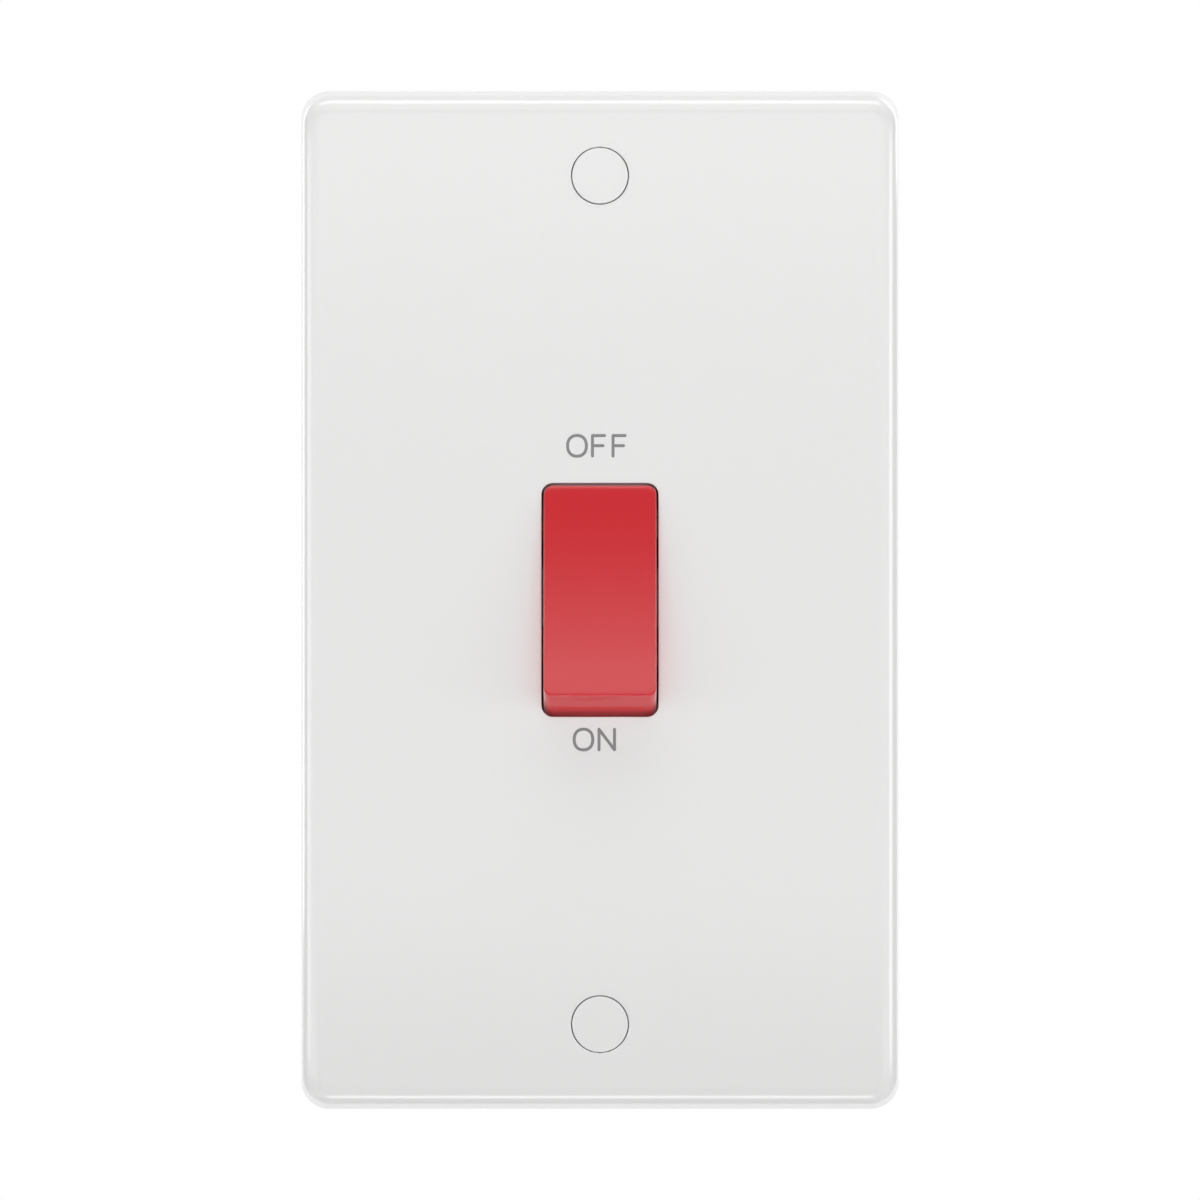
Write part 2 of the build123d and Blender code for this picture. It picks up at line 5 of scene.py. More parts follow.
import bmesh
import bpy
import numpy as np
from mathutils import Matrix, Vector


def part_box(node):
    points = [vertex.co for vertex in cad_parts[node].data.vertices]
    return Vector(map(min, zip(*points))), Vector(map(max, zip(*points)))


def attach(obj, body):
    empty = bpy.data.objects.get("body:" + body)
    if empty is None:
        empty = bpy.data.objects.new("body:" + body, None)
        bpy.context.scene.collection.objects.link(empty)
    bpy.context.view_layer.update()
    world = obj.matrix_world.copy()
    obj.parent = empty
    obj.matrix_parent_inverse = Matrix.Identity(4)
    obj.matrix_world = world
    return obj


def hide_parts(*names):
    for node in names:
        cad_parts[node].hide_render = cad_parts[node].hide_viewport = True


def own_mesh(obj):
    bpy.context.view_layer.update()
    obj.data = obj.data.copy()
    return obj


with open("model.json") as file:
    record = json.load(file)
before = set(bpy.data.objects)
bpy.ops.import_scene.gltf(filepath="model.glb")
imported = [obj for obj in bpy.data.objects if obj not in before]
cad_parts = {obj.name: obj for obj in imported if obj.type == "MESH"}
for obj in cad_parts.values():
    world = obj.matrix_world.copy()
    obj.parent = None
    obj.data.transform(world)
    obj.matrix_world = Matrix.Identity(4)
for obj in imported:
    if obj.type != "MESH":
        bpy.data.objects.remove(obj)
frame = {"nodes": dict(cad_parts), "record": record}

bl_info = {
    "name": "Double pole switch",
    "version": (1, 0, 0),
    "blender": (4, 5, 0),
    "location": "View3D > Sidebar > Switch",
    "description": "Skins, words, screw threads, finishes and studio for a double pole rocker switch",
    "category": "Object",
}

MM = 0.001
# The narrowest strip between two rows of points, in millimetres
HAIR = 1e-3


def box_of(node):
    """A CAD node's lowest and highest corners at rest, in millimetres."""
    low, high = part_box(node)
    return np.array(low) / MM, np.array(high) / MM


def middle_of(node):
    """The middle of a CAD node's box at rest, in millimetres."""
    low, high = box_of(node)
    return (low + high) / 2


# Sizes in millimetres. What the frame knows is read from it.
plate_low, plate_high = box_of("front_plate")
cap_low, cap_high = box_of("upper_screw_cap")
FRONT = plate_low[1]
HALF_WIDTH, HALF_HEIGHT = plate_high[0], plate_high[2]
CAP_RADIUS = (cap_high[0] - cap_low[0]) / 2
CAP_HEIGHT = middle_of("upper_screw_cap")[2]
POST_X, _, POST_Z = middle_of("frame_screw_4")
EARTH_Z = middle_of("earth_terminal")[2]

# Plate moulding
WALL, RIM_WALL, CORNER = 2.8, 2.2, 4.0
SIDE_LEAN, END_LEAN, LAND = 0.6, 1.3, 0.2
SOFT = 0.12
APERTURE_CORNER, APERTURE_LAND, APERTURE_FLARE = 1.6, 0.7, 1.3
SCREW_HOLE, SCREW_SEAT, BOSS_WALL = 2.1, -4.4, 2.1
RIB_HALF, RIB_HEIGHT, SIDE_RIB, END_RIB = 0.6, 1.8, 31.0, 39.0
POST_RADIUS, POST_BORE, POST_END, POST_FLOOR = 3.5, 1.5, -0.7, -7.0
HOLDER_OUTER, HOLDER_INNER, HOLDER_CORNER = (6.9, 5.9), (5.6, 4.6), 1.3
HOLDER_TOP, HOLDER_NOTCH, NOTCH_HALF = 5.0, 1.7, 3.2
SEAT_RIB_HALF, SEAT_RIB_SHORT = 0.65, (0.7, 0.8)
SIDE_RIB_BITE, END_RIB_BITE, RIB_STEP, BEVEL = 0.15, 0.1, 0.03, 0.1
FLOOR = FRONT + WALL
SUNK = FLOOR - 0.4

# Screw caps
CAP_SKIRT, CAP_SKIRT_WALL, CAP_SLIT_HALF = 1.8, 0.5, 0.6

# Screws: head height, rounding of the head, thread radius, root radius and pitch
FIXING_SCREW = (2.2, 0.35, 1.75, 1.38, 0.6)
FRAME_SCREW = (2.0, 0.75, 1.45, 1.05, 1.05)
CLAMP_SCREW = (2.8, 0.4, 2.4, 1.95, 0.8)
EARTH_SCREW = (2.2, 0.32, 1.85, 1.48, 0.7)
SLOT_WIDTH, CROSS_ARM, CROSS_BLADE, CROSS_DEPTH, CROSS_SLOPE = 1.1, 1.5, 0.36, 0.55, 3.0
FIXING_NECK, FIXING_NECK_RADIUS, FRAME_POINT = 4.65, 1.55, 1.2
THREAD_ROWS, CREST_SLOPE, CREST_SHIFT, TIP_SHARE, SHANK_BITE = 9, 1.5, 0.2, 0.8, 0.3

# Rocker
ROCKER_HALF_WIDTH, ROCKER_HALF_HEIGHT, ROCKER_CORNER = 8.0, 14.9, 1.3
ROCKER_FACE, ROCKER_FOOT, ROCKER_WALL, ROCKER_FACE_WALL = -10.74, -3.0, 1.5, 1.7
END_DRAFT = 22.3
HOLLOW_CORNER, ROCKER_RIB_HEIGHT, ROCKER_RIB_SHORT, ROOF_BITE, BARB_BITE = 0.3, 1.7, 0.4, 0.2, 0.05
LEG_HALF, LEG_IN, LEG_OUT, LEG_END, BARB, BARB_LENGTH = 3.0, 7.4, 9.0, -1.4, 0.6, 1.2

# Words
OFF_LEVEL, ON_LEVEL = 21.91, -19.83
OFF_O, ON_O, O_TALLER = (-3.27, 1.335), (-2.35, 1.315), 0.015
F_LEFTS, F_TOP_ARM, F_MIDDLE_ARM, F_MIDDLE = (-1.07, 1.85), 1.72, 1.5, 0.02
N_LEFT, N_RIGHT = -0.14, 2.06
O_POWER = 2.25
INK_HEIGHT, INK_LAYER = 0.016, 0.004

# Coil springs, along the line square to the rocker
SPRING_START, SPRING_END, SPRING_RADIUS, SPRING_TURNS, WIRE_RADIUS = -1.775, 2.775, 1.5, 4.6, 0.21
CLOSED_TURNS, CLOSED_CLIMB, END_LIFT = 0.6, 0.06, 0.02

# Skins: how the noise of plastic and metal is set, and the depth of their relief in metres
HIGHEST_INPUT = 100000
DRIFT_SCALE, SHEEN_ROUGHNESS = 22.0, 0.35
DRAWING_STRETCH = (6000.0, 6000.0, 350.0)
TARNISH_FROM, TARNISH_TO, TARNISH_ROUGHNESS, MARK_ROUGHNESS = 0.42, 0.72, 0.35, 0.16
PLASTIC_RELIEF, METAL_RELIEF, METAL_BUMP = 0.00002, 0.00001, 0.15

# Finishes by slot. Plastics: name, colour, roughness, drift, grain, bump and specular level
PLASTICS = {
    "cream_moulding": ("satin cream phenolic", (0.66, 0.645, 0.59), 0.42, 0.06, 1300.0, 0.25, 0.45),
    "cradle_plastic": ("natural acetal", (0.74, 0.72, 0.65), 0.38, 0.04, 1100.0, 0.1),
    "plunger_plastic": ("oiled nylon", (0.66, 0.58, 0.42), 0.3, 0.05, 1000.0, 0.08),
}
# Metals: name, colour, colour of the tarnish, its share, roughness and blotch scale
METALS = {
    "zinc_steel": ("zinc plated steel", (0.66, 0.68, 0.72), (0.42, 0.41, 0.38), 0.35, 0.22),
    "spring_steel": ("drawn spring wire", (0.42, 0.43, 0.45), (0.25, 0.23, 0.2), 0.3, 0.25),
    "brass": ("machined brass", (0.82, 0.60, 0.25), (0.42, 0.24, 0.08), 0.35, 0.20),
    "copper": ("stamped copper", (0.83, 0.42, 0.26), (0.36, 0.14, 0.07), 0.4, 0.26),
    "silver": ("turned silver alloy", (0.86, 0.86, 0.84), (0.5, 0.47, 0.42), 0.3, 0.16, 400.0),
}


def grid_faces(rows, columns, wrap):
    """Corner numbers of the quads of a grid of points that is numbered row by row.

    Quad (i, j) joins points i*columns + j, the next one along, and the two below them.
    With wrap the last column joins the first.
    """
    i = np.arange(rows - 1)[:, None]
    j = np.arange(columns if wrap else columns - 1)[None, :]
    k = (j + 1) % columns
    quads = [i * columns + j, i * columns + k, (i + 1) * columns + k, (i + 1) * columns + j]
    return np.stack(quads, -1).reshape(-1, 4)


def sheet(x, y, z, wrap=True):
    """One surface: three arrays of the same rows and columns become points and quads, joined round."""
    x, y, z = np.broadcast_arrays(x, y, z)
    points = np.stack([x, y, z], -1).reshape(-1, 3)
    return points, grid_faces(x.shape[0], x.shape[1], wrap)


def joined(surfaces):
    """Several surfaces as one list of points and one of quads."""
    starts = np.cumsum([0] + [len(points) for points, quads in surfaces[:-1]])
    points = np.concatenate([points for points, quads in surfaces])
    quads = np.concatenate([quads + start for (_, quads), start in zip(surfaces, starts)])
    return points, quads


def tilted(surface, angle):
    """A surface turned about X by an angle: y' = y cos - z sin, z' = y sin + z cos."""
    points, quads = surface
    c, s = cos(angle), sin(angle)
    turned = points.copy()
    turned[:, 1] = points[:, 1] * c - points[:, 2] * s
    turned[:, 2] = points[:, 1] * s + points[:, 2] * c
    return turned, quads


def moved(surface, x=0.0, z=0.0):
    """A surface shifted along X and Z."""
    points, quads = surface
    return points + np.array([x, 0, z]), quads


class Walk:
    """One walk round a rounded rectangle, seen from the front and starting low on the right side.

    Each step holds the corner centre as shares fx and fz of the half sizes less the radius,
    and the outward direction dx and dz. The point is then centre + radius * direction.
    """

    def __init__(self, along_x, along_z, corner):
        turn = (np.arange(corner) + 1) / (corner + 1) * pi / 2
        one, ones_x, ones_z = np.ones(corner), np.ones(len(along_x)), np.ones(len(along_z))
        self.fx = np.concatenate([ones_z, one, -along_x, -one, -ones_z, -one, along_x, one])
        self.fz = np.concatenate([along_z, one, ones_x, one, -along_z, -one, -ones_x, -one])
        angle = np.concatenate([0 * ones_z, turn, ones_x * pi / 2, turn + pi / 2,
                                ones_z * pi, turn + pi, ones_x * pi * 1.5, turn + pi * 1.5])
        self.dx, self.dz = np.cos(angle), np.sin(angle)

    def loop(self, half_x, half_z, radius):
        """Points of the rounded rectangle; the sizes may be numbers or one value for each row."""
        half_x, half_z, radius = (np.atleast_1d(v).astype(float)[:, None] for v in (half_x, half_z, radius))
        x = self.fx * (half_x - radius) + radius * self.dx
        z = self.fz * (half_z - radius) + radius * self.dz
        return x, z


def turned_profile(radii, depths, t, x, z):
    """A profile of radius against depth, turned through the angles t round an axis: (r cos t, y, r sin t)."""
    r = np.asarray(radii, float)[:, None]
    y = np.asarray(depths, float)[:, None]
    return sheet(x + r * np.cos(t), y + 0 * t, z + r * np.sin(t))


def quarter(radius, steps):
    """Offsets of a quarter round: radius * (1 - cos a) inwards and radius * (1 - sin a) back."""
    a = np.linspace(0, pi / 2, steps)
    return radius * (1 - np.sin(a)), radius * (1 - np.cos(a))


def block(x, y, z, r=BEVEL):
    """A box between pairs of limits, drawn as rows round its Y axis, whose upright edges have radius r."""
    ends = np.array([-1.0, 1.0])
    walk = Walk(ends, ends, 3)
    half_x, half_z = (x[1] - x[0]) / 2, (z[1] - z[0]) / 2
    px, pz = walk.loop([0, half_x, half_x, 0], [0, half_z, half_z, 0], [0, r, r, 0])
    depth = np.array([y[0], y[0], y[1], y[1]])[:, None]
    return sheet(px + (x[0] + x[1]) / 2, depth + 0 * px, pz + (z[0] + z[1]) / 2)


def thread(radius, root, pitch, top, tip, neck=0.0, neck_radius=0.0, steps=24, point=0.45):
    """A threaded shank along Y from depth top to depth tip, closed at both ends.

    The radius at depth y and turn t is root + (radius - root) * ridge(y / pitch - t), where ridge is
    a flat-crested wave. A neck of plain radius comes first, and the last turn runs out to a chamfer.
    """
    sign = 1.0 if tip > top else -1.0
    length = abs(tip - top)
    along = np.linspace(neck, length, int((length - neck) / pitch * THREAD_ROWS) + 2)
    if neck:
        along = np.concatenate([[0.0, neck - HAIR], along])
    along = along[:, None]
    t = np.arange(steps) / steps
    wave = np.abs(((along / pitch - sign * t) % 1.0) - 0.5) * 2
    r = root + (radius - root) * np.clip(wave * CREST_SLOPE - CREST_SHIFT, 0, 1)
    r = np.where(along < neck, neck_radius, r)
    run_out = np.clip((length - along) / point, 0, 1)
    end = root * TIP_SHARE
    r = np.minimum(r, end + (radius - end) * run_out)
    inside = np.array([[top - SHANK_BITE * sign]])
    r = np.concatenate([0 * r[:1], r[:1], r, 0 * r[:1]])
    y = np.concatenate([inside, inside, top + sign * along, [[tip]]])
    angle = t * 2 * pi
    return sheet(r * np.cos(angle), y + 0 * angle, r * np.sin(angle))


def screw_head(radius, seat, top, rounding, slot, cross):
    """A head whose top is a height over a disc, with its side and under side.

    Columns run across x and rows along z = s * sqrt(R^2 - x^2). The height falls off in a quarter
    round at the rim. It halves inside a slot, or drops by the share CROSS_DEPTH inside a cross, which
    holds the half length and half width of its arms.
    """
    half = slot / 2
    if slot:
        side = radius * np.sin(np.linspace(0, pi / 2, 15))
        side = side[side > half + 0.02]
        middle = np.linspace(-half, half, 5)
        columns = np.concatenate([-side[::-1], [-half - HAIR / 10], middle, [half + HAIR / 10], side])
    else:
        columns = radius * np.sin(np.linspace(-pi / 2, pi / 2, 61))
    s = np.sin(np.linspace(-pi / 2, pi / 2, 49))[:, None]
    x = columns + 0 * s
    z = s * np.sqrt(np.maximum(radius ** 2 - columns ** 2, 0))
    height = abs(top - seat)
    inset = np.clip(np.hypot(x, z) - (radius - rounding), 0, rounding)
    h = height - rounding + np.sqrt(np.maximum(rounding ** 2 - inset ** 2, 0))
    if slot:
        h = np.where(np.abs(x) <= half, np.minimum(h, height / 2), h)
    if cross:
        arm, blade = cross
        across, up = np.abs(x), np.abs(z)
        reach = np.minimum(np.maximum(across - arm, up - blade), np.maximum(up - arm, across - blade))
        h = h - np.clip(-reach * CROSS_SLOPE + 0.05, 0, 1) * height * CROSS_DEPTH
    sign = 1.0 if top > seat else -1.0
    face = sheet(x, seat + sign * h, z, wrap=False)
    rim_x, rim_z, rim_h = (np.concatenate([v[0], v[-1][::-1]]) for v in (x, z, h))
    up, out = np.array([[1.0], [0.0], [0.0]]), np.array([[1.0], [1.0], [0.0]])
    side_wall = sheet(rim_x * out, seat + sign * rim_h * up, rim_z * out)
    return joined([face, side_wall])


def placed(name, data):
    """A new object in the scene."""
    made = bpy.data.objects.new(name, data)
    bpy.context.scene.collection.objects.link(made)
    return made


def make_piece(name, surface, body, slot, replaces=(), sharp=32.0, material=None):
    """Puts points and quads into a mesh, closes its seams, turns its faces outwards and rides it.

    Edges that turn by more than the angle sharp, in degrees, are shaded sharp. The piece takes the
    slot's material unless it is given its own.
    """
    points, quads = surface
    mesh = bpy.data.meshes.new(name)
    mesh.vertices.add(len(points))
    mesh.vertices.foreach_set("co", (points * MM).astype(np.float32).ravel())
    mesh.loops.add(quads.size)
    mesh.loops.foreach_set("vertex_index", quads.astype(np.int32).ravel())
    mesh.polygons.add(len(quads))
    mesh.polygons.foreach_set("loop_start", np.arange(0, quads.size, 4, dtype=np.int32))
    mesh.update(calc_edges=True)
    mesh.validate()
    work = bmesh.new()
    work.from_mesh(mesh)
    bmesh.ops.remove_doubles(work, verts=work.verts, dist=2e-6)
    bmesh.ops.dissolve_degenerate(work, edges=work.edges, dist=1e-7)
    bmesh.ops.recalc_face_normals(work, faces=work.faces)
    work.to_mesh(mesh)
    work.free()
    mesh.shade_smooth()
    mesh.set_sharp_from_angle(angle=radians(sharp))
    mesh.materials.append(material or slot_material(slot))
    piece = placed(name, mesh)
    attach(piece, body)
    if replaces:
        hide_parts(*replaces)
    return piece


def put_node(tree, kind, inputs=None, **settings):
    """Adds a shader node. An input takes a plain value or the output that it is linked to."""
    node = tree.nodes.new(f"ShaderNode{kind}")
    for key, value in settings.items():
        setattr(node, key, value)
    for key, value in (inputs or {}).items():
        if isinstance(value, bpy.types.NodeSocket):
            tree.links.new(value, node.inputs[key])
        else:
            node.inputs[key].default_value = value
    return node


def put_math(tree, operation, *values):
    """Adds a math node and gives its result."""
    return put_node(tree, "Math", dict(enumerate(values)), operation=operation).outputs[0]


def start_group(name, colours, numbers):
    """Makes a node group with a vector, the colours and the numbers as inputs, and a skin's outputs."""
    tree = bpy.data.node_groups.new(name, "ShaderNodeTree")
    inputs = [("Vector", "Vector"), *((label, "Color") for label in colours)]
    for label, kind in inputs + [(label, "Float") for label in numbers]:
        socket = tree.interface.new_socket(name=label, in_out="INPUT", socket_type=f"NodeSocket{kind}")
        if kind == "Float":
            socket.min_value, socket.max_value = 0, HIGHEST_INPUT
    for label, kind in (("Colour", "Color"), ("Roughness", "Float"), ("Height", "Float")):
        tree.interface.new_socket(name=label, in_out="OUTPUT", socket_type=f"NodeSocket{kind}")
    return tree, tree.nodes.new("NodeGroupInput").outputs


def end_group(tree, colour, roughness, height):
    """Links the three results of a skin to its group's outputs."""
    outside = tree.nodes.new("NodeGroupOutput").inputs
    for label, result in (("Colour", colour), ("Roughness", roughness), ("Height", height)):
        tree.links.new(result, outside[label])
    return tree


def moulding_group():
    """Moulded plastic: a slow drift of tone and of roughness, and the fine grain of the mould's skin."""
    name = "Moulded Skin"
    if name in bpy.data.node_groups:
        return bpy.data.node_groups[name]
    tree, given = start_group(name, ["Colour"], ["Drift", "Roughness", "Roughness Spread", "Grain Scale"])
    place = given["Vector"]
    slow = put_node(tree, "TexNoise", {"Vector": place, "Scale": DRIFT_SCALE, "Detail": 3.0})
    fine = put_node(tree, "TexNoise", {"Vector": place, "Scale": given["Grain Scale"], "Detail": 2.0})
    centred = put_math(tree, "SUBTRACT", slow.outputs["Fac"], 0.5)
    tone = put_math(tree, "MULTIPLY_ADD", centred, given["Drift"], 1.0)
    shade = put_node(tree, "VectorMath", {0: given["Colour"], "Scale": tone}, operation="SCALE")
    rough = put_math(tree, "MULTIPLY_ADD", centred, given["Roughness Spread"], given["Roughness"])
    return end_group(tree, shade.outputs[0], rough, fine.outputs["Fac"])


def metal_group():
    """Worked metal: stretched drawing marks, blotches of tarnish and a roughness that follows both."""
    name = "Worked Metal"
    if name in bpy.data.node_groups:
        return bpy.data.node_groups[name]
    tree, given = start_group(name, ["Colour", "Tarnish"], ["Amount", "Roughness", "Blotch Scale"])
    place = given["Vector"]
    blotch = put_node(tree, "TexNoise", {"Vector": place, "Scale": given["Blotch Scale"], "Detail": 4.0})
    stretch = put_node(tree, "Mapping", {"Vector": place, "Scale": DRAWING_STRETCH})
    marks = put_node(tree, "TexNoise", {"Vector": stretch.outputs[0], "Scale": 1.0, "Detail": 2.0})
    share = put_node(tree, "MapRange", {
        "Value": blotch.outputs["Fac"], "From Min": TARNISH_FROM, "From Max": TARNISH_TO,
        "To Max": given["Amount"],
    }).outputs[0]
    mix = put_node(tree, "Mix", {"Factor": share, "A": given["Colour"], "B": given["Tarnish"]},
                   data_type="RGBA")
    rough = put_math(tree, "MULTIPLY_ADD", share, TARNISH_ROUGHNESS, given["Roughness"])
    rough = put_math(tree, "MULTIPLY_ADD", marks.outputs["Fac"], MARK_ROUGHNESS, rough)
    return end_group(tree, mix.outputs["Result"], rough, marks.outputs["Fac"])


def finish(name, group, values, bump, bump_distance, constants):
    """A material: Object coordinates into a shared group, and its outputs into the Principled shader."""
    material = bpy.data.materials.get(name)
    if material:
        return material
    material = bpy.data.materials.new(name)
    material.use_nodes = True
    tree = material.node_tree
    place = put_node(tree, "TexCoord").outputs["Object"]
    skin = put_node(tree, "Group", {"Vector": place, **values}, node_tree=group).outputs
    relief = put_node(tree, "Bump", {"Strength": bump, "Distance": bump_distance, "Height": skin["Height"]})
    sockets = tree.nodes["Principled BSDF"].inputs
    tree.links.new(skin["Colour"], sockets["Base Color"])
    tree.links.new(skin["Roughness"], sockets["Roughness"])
    tree.links.new(relief.outputs["Normal"], sockets["Normal"])
    for key, value in constants.items():
        sockets[key].default_value = value
    return material


def plastic(name, colour, roughness, drift, grain, bump, specular=0.5, sheen=0.0):
    """Moulded plastic in one colour."""
    values = {"Colour": (*colour, 1), "Drift": drift, "Grain Scale": grain,
              "Roughness": roughness, "Roughness Spread": roughness / 4}
    constants = {"Specular IOR Level": specular, "Sheen Weight": sheen, "Sheen Roughness": SHEEN_ROUGHNESS}
    return finish(name, moulding_group(), values, bump, PLASTIC_RELIEF, constants)


def metal(name, colour, tarnish, amount, roughness, scale=160.0):
    """Bare or plated metal with a share of tarnish."""
    values = {"Colour": (*colour, 1), "Tarnish": (*tarnish, 1), "Amount": amount, "Roughness": roughness,
              "Blotch Scale": scale}
    return finish(name, metal_group(), values, METAL_BUMP, METAL_RELIEF, {"Metallic": 1.0})


def slot_material(slot):
    """The material of one of the record's slots. The plate's and the rocker's colours are settings."""
    scene = bpy.context.scene
    if slot == "white_plastic":
        return plastic("polished white urea", scene.switch_plate.colour, 0.13, 0.01, 1500.0, 0.01)
    if slot == "red_plastic":
        return plastic("polished red polycarbonate", scene.switch_rocker.colour, 0.07, 0.03, 1200.0, 0.006,
                       specular=0.36, sheen=0.9)
    return metal(*METALS[slot]) if slot in METALS else plastic(*PLASTICS[slot])


class SwitchPlateSettings(bpy.types.PropertyGroup):
    front_round: bpy.props.FloatProperty(
        name="Front round", description="Radius of the plate's rounded front edge",
        default=2.7 * MM, unit="LENGTH", subtype="DISTANCE")
    aperture_half_width: bpy.props.FloatProperty(
        name="Aperture half width", description="Half the width of the hole for the rocker",
        default=8.3 * MM, unit="LENGTH", subtype="DISTANCE")
    aperture_half_height: bpy.props.FloatProperty(
        name="Aperture half height", description="Half the height of the hole for the rocker",
        default=16.6 * MM, unit="LENGTH", subtype="DISTANCE")
    cap_gap: bpy.props.FloatProperty(
        name="Cap gap", description="Gap round each screw cap",
        default=0.15 * MM, unit="LENGTH", subtype="DISTANCE")
    colour: bpy.props.FloatVectorProperty(
        name="Plate colour", description="Colour of the plate and its screw caps",
        default=(0.80, 0.80, 0.795), min=0, max=1, size=3, subtype="COLOR")


class SwitchRockerSettings(bpy.types.PropertyGroup):
    tilt: bpy.props.FloatProperty(
        name="Tilt", description="How far the rocker leans at rest, top inwards",
        default=radians(7.0), unit="ROTATION", subtype="ANGLE")
    edge: bpy.props.FloatProperty(
        name="Edge round", description="Radius of the edge round the rocker's face",
        default=0.3 * MM, unit="LENGTH", subtype="DISTANCE")
    crown: bpy.props.FloatProperty(
        name="Crown", description="How far the middle of the face stands out",
        default=0.25 * MM, unit="LENGTH", subtype="DISTANCE")
    colour: bpy.props.FloatVectorProperty(
        name="Rocker colour", description="Colour of the rocker",
        default=(0.62, 0.004, 0.012), min=0, max=1, size=3, subtype="COLOR")


class SwitchWordSettings(bpy.types.PropertyGroup):
    stroke: bpy.props.FloatProperty(
        name="Stroke", description="Width of the printed strokes",
        default=0.43 * MM, unit="LENGTH", subtype="DISTANCE")
    height: bpy.props.FloatProperty(
        name="Height", description="Height of the letters",
        default=3.34 * MM, unit="LENGTH", subtype="DISTANCE")
    colour: bpy.props.FloatVectorProperty(
        name="Print colour", description="Colour of the printed words",
        default=(0.235, 0.235, 0.24), min=0, max=1, size=3, subtype="COLOR")


class SwitchStudioSettings(bpy.types.PropertyGroup):
    distance: bpy.props.FloatProperty(
        name="Camera distance", description="From the camera to the wall plane",
        default=0.657, unit="LENGTH", subtype="DISTANCE")
    lens: bpy.props.FloatProperty(
        name="Lens", description="Focal length on a 36 mm sensor", default=136.9, unit="CAMERA")
    floor_height: bpy.props.FloatProperty(
        name="Floor height", description="Height of the floor below the middle of the plate",
        default=-0.8, unit="LENGTH", subtype="DISTANCE")


def face_zone(outer_x, outer_z, inner_x, inner_z, depth):
    """A flat ring between two loops of the same count: straight lines from one to the other.

    A thin strip beside each loop keeps the flat's shading level up to its edges.
    """
    share = np.array([0.0, 0.004, 0.99, 1.0])[:, None]
    x = outer_x * (1 - share) + inner_x * share
    z = outer_z * (1 - share) + inner_z * share
    return sheet(x, depth + 0 * x, z)


